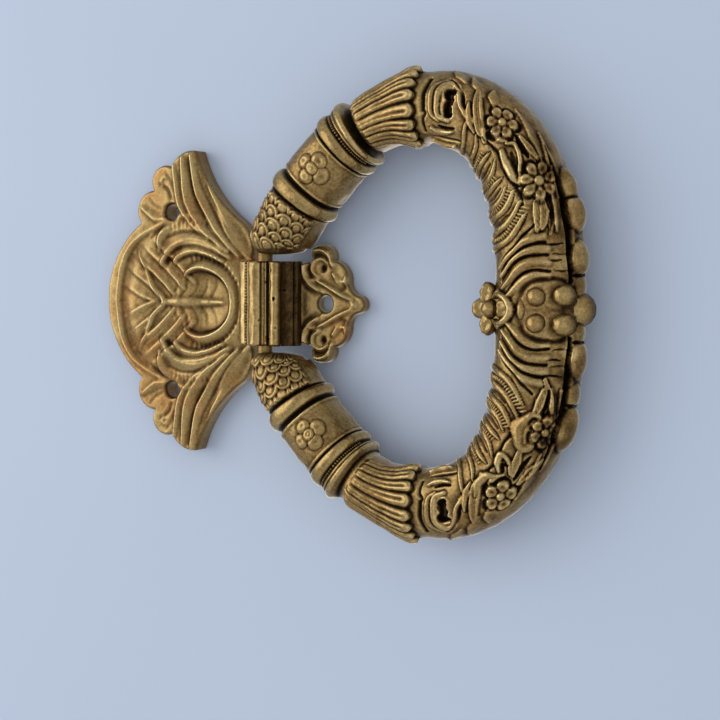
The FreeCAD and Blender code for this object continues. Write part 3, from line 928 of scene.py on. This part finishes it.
# how far each grid point is from the outline, the nearest point on it, and what is inside
edgeAway = np.full(gridX.shape, 9.0)
nearX, nearZ = gridX.copy(), gridZ.copy()
crossings = np.zeros(gridX.shape, int)
for p, q in zip(loop, np.roll(loop, -1, 0)):
    d = q - p
    i = slice(*np.searchsorted(xs, (min(p[0], q[0]) - 1.6, max(p[0], q[0]) + 1.6)))
    j = slice(*np.searchsorted(zs, (min(p[1], q[1]) - 1.6, max(p[1], q[1]) + 1.6)))
    gx, gz = gridX[i, j], gridZ[i, j]
    t = np.clip(((gx - p[0]) * d[0] + (gz - p[1]) * d[1]) / (d @ d), 0, 1)
    fx, fz = p[0] + t * d[0], p[1] + t * d[1]
    far = np.hypot(gx - fx, gz - fz)
    closer = far < edgeAway[i, j]
    edgeAway[i, j] = np.where(closer, far, edgeAway[i, j])
    nearX[i, j] = np.where(closer, fx, nearX[i, j])
    nearZ[i, j] = np.where(closer, fz, nearZ[i, j])
    if d[1] != 0:    # count the edges to the right of each point
        rows = slice(*np.searchsorted(zs, sorted((p[1], q[1]))))
        at = p[0] + (zs[rows] - p[1]) / d[1] * d[0]
        crossings[:, rows] += xs[:, None] < at[None, :]
inside = crossings % 2 == 1
for hx, hz in plate["holes"]:
    far = np.hypot(gridX - hx, gridZ - hz)
    inside &= far > plate["holeRadius"]
    away = far - plate["holeRadius"]
    closer = (away < edgeAway) & (far > 0.3)
    scale = plate["holeRadius"] / np.maximum(far, 0.3)
    edgeAway = np.where(closer, np.abs(away), edgeAway)
    nearX = np.where(closer, hx + (gridX - hx) * scale, nearX)
    nearZ = np.where(closer, hz + (gridZ - hz) * scale, nearZ)


def ridge(r, points, width, height):
    r.stroke(points, np.array(width) * plate["lineWide"], height * plate["lineHigh"], "soft", "add")


def fold(r, points, width, height):
    r.stroke(points, width, height, "fold", "add")


def drawCrest(r):
    a, b = r.a[:, None], r.b[None, :]
    crestZ = plate["crest"][1] - plate["baseLine"]
    fromCrest = np.hypot(a, b - crestZ)
    above = smooth(-3, 6, b - crestZ + 0.25 * a)
    # a low dome
    dome = 1 - smooth(12.0, 16.5, np.hypot(a * 0.9, b - 19.0))
    r.h += (plate["shell"] - plate["thick"]) * dome * smooth(4, 10, b)
    # hollow in the middle, and the shallow dish of the crest
    around = np.hypot(a, (b - 14.8) * 0.92)
    lower = smooth(4.2, 1.0, b - 15.0)
    r.h -= 1.25 * np.clip(1 - (around / 5.6) ** 2, 0, 1) ** 0.6 * (0.35 + 0.65 * lower)
    # broad ribs that fan from the trunk into the crest, sinking as they reach its border
    ground = r.h.copy()
    for path, width, height in (
        ([(3.6, 17.6), (6.6, 19.8), (9.6, 22.6), (13.6, 28.2)], (0.8, 2.0, 2.8, 2.0), 0.5),
        ([(2.4, 19.6), (5.6, 22.0), (8.8, 25.4), (12.2, 30.4)], (0.8, 2.2, 2.8, 2.0), 0.55),
        ([(1.4, 21.8), (4.4, 24.2), (7.4, 27.6), (10.2, 32.2)], (0.8, 2.2, 2.8, 2.0), 0.55),
        ([(0.7, 23.8), (3.0, 26.4), (5.6, 29.8), (7.6, 34.0)], (0.7, 2.0, 2.6, 2.0), 0.5),
        ([(0.0, 26.0), (1.2, 28.6), (2.8, 31.4), (4.0, 35.2)], (0.6, 1.7, 2.4, 2.0), 0.45),
    ):
        fold(r, path, width, height)
    for path in (    # fine chased lines along the ribs
        [(2.2, 25.2), (4.4, 28.2), (6.0, 31.6)],
        [(3.2, 22.8), (6.0, 25.8), (8.6, 29.6)],
        [(4.6, 20.6), (7.6, 23.6), (10.4, 27.6)],
    ):
        ridge(r, path, (0.2, 0.4, 0.2), -0.3)
    r.h = ground + (r.h - ground) * (1 - 0.8 * smooth(10.0, 14.4, fromCrest) * above)
    ridge(r, [(0, 11.5), (0, 15), (0.1, 19.5), (0, 24.2)], (0.6, 1.5, 1.7, 1.1), 0.95)
    ridge(r, [(0, 23.8), (1.5, 25.6), (3.8, 27.0), (7.2, 28.6), (9.4, 30.2)], (1.0, 1.1, 0.9, 0.7, 0.3), 0.8)
    for k in range(5):    # the trunk's soft folds down into the hollow
        z0 = 13.6 + 2.0 * k
        ridge(r, [(0.7, z0 + 1.0), (2.4, z0 - 0.2), (4.0, z0 - 0.6)], (0.3, 0.7, 0.3), -0.3)
    # sweep from the crest round to the first lobe
    fold(r, [(9.4, 24.8), (11.8, 24.4), (13.8, 23.0), (14.6, 21.0)], (0.8, 2.2, 2.2, 1.0), 0.7)
    ridge(r, [(11.8, 27.2), (13.0, 25.8), (14.0, 24.4), (14.6, 22.9)], (0.4, 0.8, 0.8, 0.4), -0.7)
    # thin wavy border along the crest, laid over the ribs
    wave = 0.35 * np.sin(6.0 * np.arctan2(a, b - crestZ) + 0.8)
    border = smooth(13.9, 15.4, fromCrest + wave) * above
    roll = 0.9 + 0.3 * np.exp(-((fromCrest + wave - 15.5) / 0.4) ** 2)
    r.h = r.h * (1 - border) + roll * border


def drawScroll(r):
    # leaf scroll: broad bands that end in a point above the hollow
    fold(r, [(8.4, 9.8), (10.8, 13.6), (11.8, 17.6), (11.2, 21.4), (8.8, 23.8), (6.6, 24.4)],
         (1.2, 2.6, 3.0, 3.0, 2.2, 0.5), 0.85)
    fold(r, [(7.6, 11.0), (9.4, 14.4), (9.8, 17.8), (8.8, 20.6), (7.0, 21.6)], (0.9, 2.0, 2.4, 2.0, 0.6), 0.8)
    ridge(r, [(9.2, 11.8), (10.7, 15.4), (10.9, 19.0), (9.6, 22.2)], (0.25, 0.5, 0.5, 0.25), -0.6)
    ridge(r, [(10.4, 12.2), (12.4, 16.0), (12.9, 20.0), (11.8, 23.4)], (0.25, 0.5, 0.5, 0.25), -0.6)
    ridge(r, [(5.6, 23.3), (7.4, 22.9), (8.0, 21.6)], (0.3, 0.8, 0.3), -0.4)
    for k in range(10):    # short tooth cuts outside the scroll
        x0, z0 = 13.0 + 0.5 * math.sin(0.35 * k), 22.2 - 0.85 * k
        ridge(r, [(x0, z0), (x0 + 1.3, z0 + 0.3)], (0.25, 0.5), -0.5)
    # scroll round the hollow, its outer band notched
    fold(r, [(0, 8.6), (2.9, 9.1), (5.6, 11.4), (6.9, 15.0), (6.2, 18.0), (4.4, 19.4)],
         (2.6, 2.6, 2.6, 2.5, 1.8, 0.4), 1.25)
    fold(r, [(0, 6.9), (3.6, 7.3), (7.0, 9.6), (8.6, 13.2), (8.8, 16.0)], (1.6, 1.9, 2.2, 2.0, 0.6), 0.5)
    for k in range(12):
        turn = math.radians(28 + 7.5 * k)
        x0, z0 = 7.6 * math.sin(turn), 15.0 - 7.4 * math.cos(turn)
        ridge(r, [(x0, z0), (x0 + 1.1 * math.sin(turn), z0 - 1.1 * math.cos(turn))], (0.35, 0.45), -0.42)


def drawWing(r):
    # wing flutes, from a root beside the scroll out to the tip
    fold(r, [(8.0, 6.0), (13.5, 9.8), (19.5, 13.2), (26.8, 16.4)], (1.4, 3.0, 3.0, 1.2), 0.55)
    fold(r, [(8.6, 8.0), (13.8, 12.4), (19.4, 16.2), (26.8, 18.2)], (1.0, 2.8, 2.9, 1.2), 0.75)
    fold(r, [(9.4, 10.0), (13.6, 15.0), (18.6, 18.8), (26.4, 20.2)], (0.8, 2.2, 2.6, 1.1), 0.7)
    fold(r, [(11.6, 14.0), (14.2, 17.4), (18.0, 20.6), (25.0, 22.2)], (0.6, 1.6, 2.0, 0.9), 0.5)
    for path in (
        [(9.4, 9.6), (13.8, 13.8), (19.2, 17.6), (26.4, 19.2)],
        [(9.0, 7.2), (13.8, 11.0), (19.6, 14.6), (26.6, 17.2)],
        [(11.0, 9.6), (15.6, 13.2), (20.6, 16.0), (25.4, 17.4)],
    ):
        ridge(r, path, (0.25, 0.5, 0.5, 0.25), -0.5)
    # lobes round the screw hole
    fold(r, [(15.4, 23.6), (15.7, 26.2), (17.4, 29.2)], (0.6, 2.2, 1.0), 0.45)
    ridge(r, [(17.0, 24.6), (17.8, 26.4), (19.2, 27.6)], (0.3, 0.5, 0.3), -0.4)
    ridge(r, [(18.8, 22.8), (20.6, 23.6), (21.8, 25.4)], (0.4, 0.8, 0.4), -0.6)
    ridge(r, [(20.2, 22.2), (22.0, 22.8), (23.8, 24.0)], (0.3, 0.5, 0.3), -0.45)
    ridge(r, [(21.0, 24.6), (22.0, 24.9), (22.8, 24.6), (22.8, 23.6)], (0.3, 0.6, 0.6, 0.3), 0.5)


def drawTail(r):
    # neck, then the tail: straps, rolled volutes and the pointed tip
    r.h -= 0.5 * smooth(-3.6, -4.6, r.b[None, :])
    for k in range(3):
        strap = [(5.2 - 1.2 * k, -4.9), (3.2 - 0.8 * k, -6.4 - 0.2 * k), (1.6 - 0.2 * k, -8.0)]
        ridge(r, strap, (0.7, 0.6, 0.3), -0.5)
    ridge(r, [(2.4, -7.2), (3.9, -5.4), (6.4, -4.5), (8.9, -5.4), (9.7, -7.6), (8.8, -9.6), (6.8, -10.4)],
          (0.9, 1.7, 2.2, 2.3, 2.1, 1.7, 0.9), 1.3)
    ridge(r, [(4.6, -7.8), (5.8, -6.3), (7.4, -6.6), (8.0, -8.1), (7.2, -9.3)],
          (0.6, 0.9, 1.0, 0.9, 0.5), 0.7)
    ridge(r, [(3.6, -7.4), (5.0, -5.9), (7.0, -5.6), (8.5, -6.8), (8.7, -8.5), (7.6, -9.8)],
          (0.4, 0.5, 0.5, 0.5, 0.5, 0.4), -0.6)
    r.dome((6.3, -8.5), 0.8, -0.8, shape="soft", how="add")
    ridge(r, [(4.4, -6.0), (3.6, -8.4), (2.4, -10.6), (1.4, -12.6), (0.8, -14.2)],
          (0.6, 1.0, 1.2, 1.0, 0.6), 0.9)
    ridge(r, [(5.4, -10.4), (4.0, -11.6), (3.9, -12.9), (5.0, -13.0)], (0.8, 1.2, 1.1, 0.6), 0.8)
    ridge(r, [(2.6, -12.0), (3.0, -13.0), (4.4, -11.2)], (0.4, 0.7, 0.4), -0.6)
    r.dome((0, -14.6), (0.8, 1.3), 0.5, shape="soft", how="add")


def drawLeaves():
    # one side of the plate's ornament; x runs outwards from the middle
    r = Relief(xs, zs - plate["baseLine"])
    for draw in (drawCrest, drawScroll, drawWing, drawTail):
        draw(r)
    return blur(r.h, 0.6, 0.6)


rightHalf = drawLeaves()
plateRelief = Relief(xs, zs)
blend = smooth(-plate["seam"], plate["seam"], gridX)
plateRelief.h = rightHalf * blend + rightHalf[::-1] * (1 - blend)
plateRelief.h += lumps(gridX, 0, gridZ, 2.6, 0.03) + lumps(gridX, 0, gridZ, 0.9, 0.010)
edgeRound, seat = plate["edgeRound"], plate["seat"]
rim = np.sqrt(np.clip(1 - (1 - np.clip(edgeAway / edgeRound, 0, 1)) ** 2, 0, 1))
top = plate["thick"] + np.clip(plateRelief.h, plate["deepest"], plate["highest"]) - edgeRound * (1 - rim)
onSeat = (np.abs(gridX) < seat["half"]) & (gridZ > seat["low"]) & (gridZ < seat["high"])
top = np.where(onSeat, np.minimum(top, seat["level"]), top)
plateRelief.h = top - plate["thick"]
hollow, worn = plateRelief.shade(plate["step"], plate["step"])
# near the edge the painted shade and patina are capped
hollow = np.where(edgeAway < plate["edgeCapReach"], np.minimum(hollow, plate["edgeHollowCap"]), hollow)

number = np.full(gridX.shape, -1)
number[inside] = np.arange(inside.sum())
cell = [number[:-1, :-1], number[1:, :-1], number[1:, 1:], number[:-1, 1:]]
known = sum((c >= 0).astype(int) for c in cell)
full = known == 4
quads = np.stack([c[full] for c in cell], -1)
three = known == 3
corner = np.stack([c[three] for c in cell], -1)
tris = corner[corner >= 0].reshape(-1, 3)
spotX, spotZ, spotH = gridX[inside].copy(), gridZ[inside].copy(), top[inside].copy()
# points on the rim of the kept cells move onto the true edge
edges = {}    # in the order met
for face in list(map(tuple, quads)) + list(map(tuple, tris)):
    edges.update(dict.fromkeys(zip(face, face[1:] + face[:1])))
rimEdges = [(p, q) for p, q in edges if (q, p) not in edges]
rimSpots = np.unique(np.array(rimEdges).ravel())
for own, true in ((spotX, nearX[inside]), (spotZ, nearZ[inside])):
    # all but a hair of the way, so that none coincide
    own[rimSpots] += (true[rimSpots] - own[rimSpots]) * 0.97
# the rounded edge's lowest line
spotH[rimSpots] = np.maximum((top - edgeRound * rim)[inside][rimSpots], plate["rimLow"])
count, around = len(spotX), len(rimSpots)
foot = count + (len(plate["wallLevels"]) - 1) * around    # the first point of the wall's foot
levels = [np.stack([spotX[rimSpots], spotH[rimSpots] * share, spotZ[rimSpots]], 1)
          for share in plate["wallLevels"]]
rimIndex = {v: k for k, v in enumerate(rimSpots)}
walls = []
for p, q in rimEdges:
    above = (p, q)
    for level in range(count, foot + 1, around):
        below = (level + rimIndex[p], level + rimIndex[q])
        walls.append((above[1], above[0], below[0], below[1]))
        above = below
# the back is the same grid laid flat, its rim joined to the foot of the wall
backNumber = foot + around + np.arange(count)
backNumber[rimSpots] = foot + np.arange(around)
front, back = (np.stack([spotX, h, spotZ], 1) for h in (spotH, 0 * spotH))
spots = np.concatenate([front, *levels, back])
# the walls are painted darker towards their foot, a painted shade near the door; the back gets a middling
# mark
wallMark = np.repeat((*plate["wallShades"], plate["backMark"]), [around] * len(plate["wallShades"]) + [count])
marks = [np.concatenate([hollow[inside], wallMark]), np.concatenate([worn[inside], wallMark * 0 + 0.1])]
# the back's own copies of the rim points are not used, so they are left out
kept = np.ones(len(spots), bool)
kept[foot + around + rimSpots] = False
renumber = np.cumsum(kept) - 1
allQuads = renumber[np.concatenate([quads[:, ::-1], np.array(walls)[:, ::-1], backNumber[quads]])]
allTris = renumber[np.concatenate([tris[:, ::-1], backNumber[tris]])]
spots, marks = spots[kept], [m[kept] for m in marks]
platePiece = makeMesh("shell_casting", spots, allQuads, marks, sharp=50, tris=allTris)
platePiece.data.materials.append(plateGilt)
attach(platePiece, "plate")
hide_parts("shell_plate")
print("shell casting", len(spots), "points")


# Knuckle: a moulded block, planed and rubbed bright.

knuckle = dict(
    half=7.5, high=5.6, low=-5.8, foot=2.8, boreRadius=1.46, boreDepth=5.0, axis=5.6, step=0.16,
    endRound=0.35, tarnishAndShade=0.55,
    grooves=(    # height on the block, half width, depth or rise
        (3.35, 0.24, -0.3), (2.75, 0.2, 0.16), (-1.35, 0.34, -0.35), (-1.95, 0.16, -0.2), (-0.65, 0.2, -0.2)),
    beadLine=3.35,
    pits=(       # place across and down, size, depth, turn
        ((0.9, 3.1), (0.42, 0.3), -0.9, 0), ((2.4, 4.1), (0.22, 0.2), -0.4, 0),
        ((-5.6, 1.6), (0.3, 0.16), -0.22, 0), ((-2.9, 0.4), (0.3, 0.16), -0.22, 0.5),
        ((3.8, 1.2), (0.3, 0.16), -0.22, 1.0), ((5.9, 2.4), (0.3, 0.16), -0.22, 1.5),
        ((-4.2, 3.4), (0.3, 0.16), -0.22, 2.0), ((-6.2, 1.4), (0.9, 0.5), -0.4, 0)),
)


def knuckleProfile():
    high, low = knuckle["high"], knuckle["low"]
    steps = [
        (None, (high, 4.9)), ((high - 0.4, 6.0), (high - 1.2, 6.6)), (None, (high - 3.3, 7.2)),
        ((high - 5.0, 8.8), (high - 6.5, 7.3)), (None, (high - 7.5, 7.2)),
        ((high - 8.6, 8.1), (high - 9.6, 7.1)), ((high - 9.9, 5.5), (low + 0.6, 4.9)),
        (None, (low + 0.6, 4.3)), (None, (low, 4.2)), (None, (low, 2.8)),
    ]
    return traced((high, knuckle["foot"]), steps, 0.14)


profile = knuckleProfile()
tangent = np.gradient(profile, axis=0)
tangent /= np.linalg.norm(tangent, axis=1)[:, None]
outward = np.stack([tangent[:, 1], -tangent[:, 0]], 1)
if (outward[:, 1] * profile[:, 1]).sum() < 0:
    outward = -outward
kx = np.linspace(-knuckle["half"], knuckle["half"], int(2 * knuckle["half"] / knuckle["step"]))
dent = np.zeros((len(kx), len(profile)))
zLine = profile[:, 0]
facing = smooth(5.0, 6.5, profile[:, 1])
for centre, half, height in knuckle["grooves"]:
    dent += height * np.clip(1 - ((zLine - centre) / half) ** 2, 0, 1)[None, :] * facing[None, :]
kRelief = Relief(kx, -zLine)
kRelief.h = dent + lumps(kx[:, None], 0, zLine[None, :], 2.2, 0.04)
kRelief.h += lumps(kx[:, None] * 0.25, 0, zLine[None, :], 0.7, 0.02)
kRelief.beads([(-7.2, -knuckle["beadLine"]), (7.2, -knuckle["beadLine"])], 0.55, 0.2, 0.24, floor=-0.28)
for at, size, depth, turn in knuckle["pits"]:
    kRelief.dome(at, size, depth, turn, shape="soft", how="add")
ends = knuckle["half"] - np.abs(kx)
endRound = knuckle["endRound"]
rounded = endRound * (1 - np.sqrt(np.clip(1 - (1 - np.clip(ends / endRound, 0, 1)) ** 2, 0, 1)))
push = kRelief.h - rounded[:, None] * smooth(2.9, 3.4, profile[:, 1])[None, :]
push = push * smooth(-4.3, -3.6, zLine)[None, :]    # the ledge under the cove stays plain
kHollow, kWorn = kRelief.shade(knuckle["step"], 0.13)
coveAndGrooveShade = smooth(-3.6, -4.1, zLine) + np.exp(-((zLine + 1.4) / 0.35) ** 2)    # painted shade, with patina, in the cove and the groove
kHollow = np.clip(kHollow + knuckle["tarnishAndShade"] * coveAndGrooveShade[None, :], 0, 1)
kz = profile[None, :, 0] + outward[None, :, 0] * push
kh = profile[None, :, 1] + outward[None, :, 1] * push
kh[:, 0] = kh[:, -1] = knuckle["foot"]
shell = np.stack([np.broadcast_to(kx[:, None], kz.shape), kh, kz], -1)
rows, columns = kz.shape
spots = [shell.reshape(-1, 3)]
quads = [gridFaces(rows, columns)]
tris = []
count = rows * columns
quads.append(np.array([[i * columns, (i + 1) * columns, (i + 2) * columns - 1, (i + 1) * columns - 1]
                       for i in range(rows - 1)]))    # underside


def inOutline(spot, outline):
    # an upward line from the spot crosses the outline an odd number of times
    z0, h0 = outline.T
    z1, h1 = np.roll(outline, -1, 0).T
    cuts = (h0 > spot.y) != (h1 > spot.y)
    hits = spot.x < z0 + (spot.y - h0) / np.where(h1 == h0, 1, h1 - h0) * (z1 - z0)
    return (cuts & hits).sum() % 2 == 1


boreTurns = np.linspace(0, 2 * math.pi, 36, endpoint=False)
bore = [Vector((knuckle["boreRadius"] * math.cos(t), knuckle["axis"] + knuckle["boreRadius"] * math.sin(t)))
        for t in boreTurns]
for end, sign in ((0, -1), (rows - 1, 1)):    # end faces, each with a blind bore for a pin
    face = [Vector((shell[end, k, 2], shell[end, k, 1])) for k in range(columns)]
    n, m = len(face), len(bore)
    links = [(k, (k + 1) % n) for k in range(n)] + [(n + k, n + (k + 1) % m) for k in range(m)]
    places, _, pieces, origins, _, _ = delaunay_2d_cdt(face + bore, links, [], 0, 1e-6)
    ids = np.concatenate([end * columns + np.arange(columns), count + np.arange(m)])
    table = [ids[o[0]] if o else -1 for o in origins]
    outline = np.array([(p.x, p.y) for p in face])
    for piece in pieces:
        middle = sum((places[k] for k in piece), Vector((0, 0))) / len(piece)
        inBore = all(table[k] >= count for k in piece)
        if not inBore and inOutline(middle, outline):
            tris.append([table[k] for k in piece])
    mouth = shell[end, 0, 0]
    bottom = mouth - sign * knuckle["boreDepth"]
    spots += [np.array([(x, p.y, p.x) for p in bore]) for x in (mouth, bottom)]
    spots.append(np.array([[bottom, knuckle["axis"], 0]]))
    k = count + np.arange(m)
    ahead = count + (np.arange(m) + 1) % m
    wall = np.stack([k, ahead, ahead + m, k + m], 1)
    quads.append(wall if sign < 0 else wall[:, ::-1])
    tris += fan(count + m, m, count + 2 * m).tolist()
    count += 2 * m + 1
spots = np.concatenate(spots)
# the bore's points get a middling hollow mark, a painted shade inside the bore
marks = [np.full(len(spots), 0.5), np.zeros(len(spots))]
marks[0][:rows * columns] = kHollow.ravel()
marks[1][:rows * columns] = kWorn.ravel()
knucklePiece = makeMesh("knuckle_block", spots, np.concatenate(quads), marks, sharp=48, tris=np.array(tris))
knucklePiece.data.materials.append(rubbedBrass)
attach(knucklePiece, "plate")
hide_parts("hinge_knuckle")
print("knuckle block", len(spots), "points")

# the pivot pins keep their turned shape and get their metal
for node in ("left_pivot_pin", "right_pivot_pin"):
    pin = bpy.data.objects[node]
    for slot in pin.material_slots:
        slot.material = pinBrass
    print("pin", node, [s.name for s in pin.material_slots])

# every piece's faces point outwards
clasp = [o for o in bpy.data.objects if o.name.startswith("clasp_")]
for piece in (ringPiece, platePiece, knucklePiece, *clasp):
    work = bmesh.new()
    work.from_mesh(piece.data)
    openEdges = sum(1 for e in work.edges if len(e.link_faces) != 2)
    bmesh.ops.recalc_face_normals(work, faces=work.faces)
    volume = work.calc_volume(signed=True)
    if volume < 0:
        bmesh.ops.reverse_faces(work, faces=work.faces)
    work.to_mesh(piece.data)
    work.free()
    print(piece.name, "open edges", openEdges, "volume", round(volume * 1e9, 1))


# Stage, lamps and camera.

stage = dict(
    wall=(0.440, 0.500, 0.610), wallBack=0.45, wallRadius=900,
    wallRough=0.75, wallSheen=0.2, wallGrain=14, wallTint=0.03,
    aim=(0, 0, -15),    # the lamps point here
    sky=(0.930, 0.960, 1.000), skyStrength=0.86,
    skyBehind=(0.60, 0.66, 0.76), skyTurn=(-0.02, 0.06),
    key=dict(at=(90, -330, 400), size=520, power=1.3, colour=(1.0, 0.98, 0.95)),
    fill=dict(at=(-60, -420, -260), size=400, power=0.12, colour=(0.95, 0.97, 1.0)),
    back=dict(at=(-150, 380, 200), size=400, power=0.4, colour=(1.0, 0.98, 0.95)),
)


def makeWall():
    # a pale wall just behind the plate, seen only from the front; it takes the knocker's
    # shadow but lets light from behind through, so that the plate's back isn't dark
    far, back = stage["wallRadius"] * mm, stage["wallBack"] * mm
    mesh = bpy.data.meshes.new("wall")
    corners = [(-far, back, -far), (far, back, -far), (far, back, far), (-far, back, far)]
    mesh.from_pydata(corners, [], [(0, 1, 2, 3)])
    wall = bpy.data.objects.new("wall", mesh)
    wall.visible_shadow = False
    wall.visible_diffuse = False
    wall.visible_glossy = False
    bpy.context.collection.objects.link(wall)
    material = bpy.data.materials.new("wallPaint")
    material.use_nodes = True
    nodes, links = material.node_tree.nodes, material.node_tree.links
    paint = nodes["Principled BSDF"]
    paint.inputs["Roughness"].default_value = stage["wallRough"]
    paint.inputs["Specular IOR Level"].default_value = stage["wallSheen"]
    noise = nodes.new("ShaderNodeTexNoise")
    noise.inputs["Scale"].default_value = stage["wallGrain"]
    coords = nodes.new("ShaderNodeTexCoord")
    links.new(coords.outputs["Object"], noise.inputs["Vector"])
    ramp = nodes.new("ShaderNodeValToRGB")
    for stop, tint in zip(ramp.color_ramp.elements, (1 - stage["wallTint"], 1 + stage["wallTint"])):
        stop.color = (*[c * tint for c in stage["wall"]], 1)
    links.new(noise.outputs["Fac"], ramp.inputs["Fac"])
    links.new(ramp.outputs["Color"], paint.inputs["Base Color"])
    clear = nodes.new("ShaderNodeBsdfTransparent")
    mix = nodes.new("ShaderNodeMixShader")
    side = nodes.new("ShaderNodeNewGeometry")
    links.new(side.outputs["Backfacing"], mix.inputs["Fac"])
    links.new(paint.outputs["BSDF"], mix.inputs[1])
    links.new(clear.outputs["BSDF"], mix.inputs[2])
    links.new(mix.outputs["Shader"], nodes["Material Output"].inputs["Surface"])
    mesh.materials.append(material)
    if mesh.polygons[0].normal.y > 0:
        mesh.flip_normals()
    wall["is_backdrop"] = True


def makeLamp(name, look):
    light = bpy.data.lights.new(name, "AREA")
    light.shape = "DISK"
    light.size = look["size"] * mm
    light.energy = look["power"]
    light.color = look["colour"]
    lamp = bpy.data.objects.new(name, light)
    lamp.location = Vector(look["at"]) * mm
    aim = Vector(stage["aim"]) * mm - lamp.location
    lamp.rotation_euler = aim.to_track_quat("-Z", "Y").to_euler()
    bpy.context.collection.objects.link(lamp)


makeWall()
for name in ("key", "fill", "back"):
    makeLamp(name, stage[name])
world = bpy.data.worlds.new("studio")
world.use_nodes = True
sky = world.node_tree.nodes["Background"]
sky.inputs["Strength"].default_value = stage["skyStrength"]
# in front of the wall the sky is pale, behind it it is about as bright as the wall
nodes, links = world.node_tree.nodes, world.node_tree.links
heading = nodes.new("ShaderNodeTexCoord")
split = nodes.new("ShaderNodeSeparateXYZ")
slope = nodes.new("ShaderNodeMapRange")
slope.inputs["From Min"].default_value, slope.inputs["From Max"].default_value = stage["skyTurn"]
halves = nodes.new("ShaderNodeMixRGB")
halves.inputs["Color1"].default_value = (*stage["sky"], 1)
halves.inputs["Color2"].default_value = (*stage["skyBehind"], 1)
links.new(heading.outputs["Generated"], split.inputs["Vector"])
links.new(split.outputs["Y"], slope.inputs["Value"])
links.new(slope.outputs["Result"], halves.inputs["Fac"])
links.new(halves.outputs["Color"], sky.inputs["Color"])
bpy.context.scene.world = world

camera = dict(at=(7.53, -235.77, -136.91), lens=75, sensor=36,
              right=(0.00554, 0.45620, -0.88985), up=(0.99784, 0.05577, 0.03481))
data = bpy.data.cameras.new("camera")
data.lens = camera["lens"]
data.sensor_width = camera["sensor"]
eye = bpy.data.objects.new("camera", data)
right = Vector(camera["right"]).normalized()
up = (Vector(camera["up"]) - right * right.dot(Vector(camera["up"]))).normalized()
facing = Matrix((right, up, right.cross(up))).transposed().to_4x4()
eye.matrix_world = Matrix.Translation(Vector(camera["at"]) * mm) @ facing
bpy.context.collection.objects.link(eye)
bpy.context.scene.camera = eye
bpy.context.scene.view_settings.view_transform = "Standard"
print("stage, lamps and camera")

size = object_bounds()
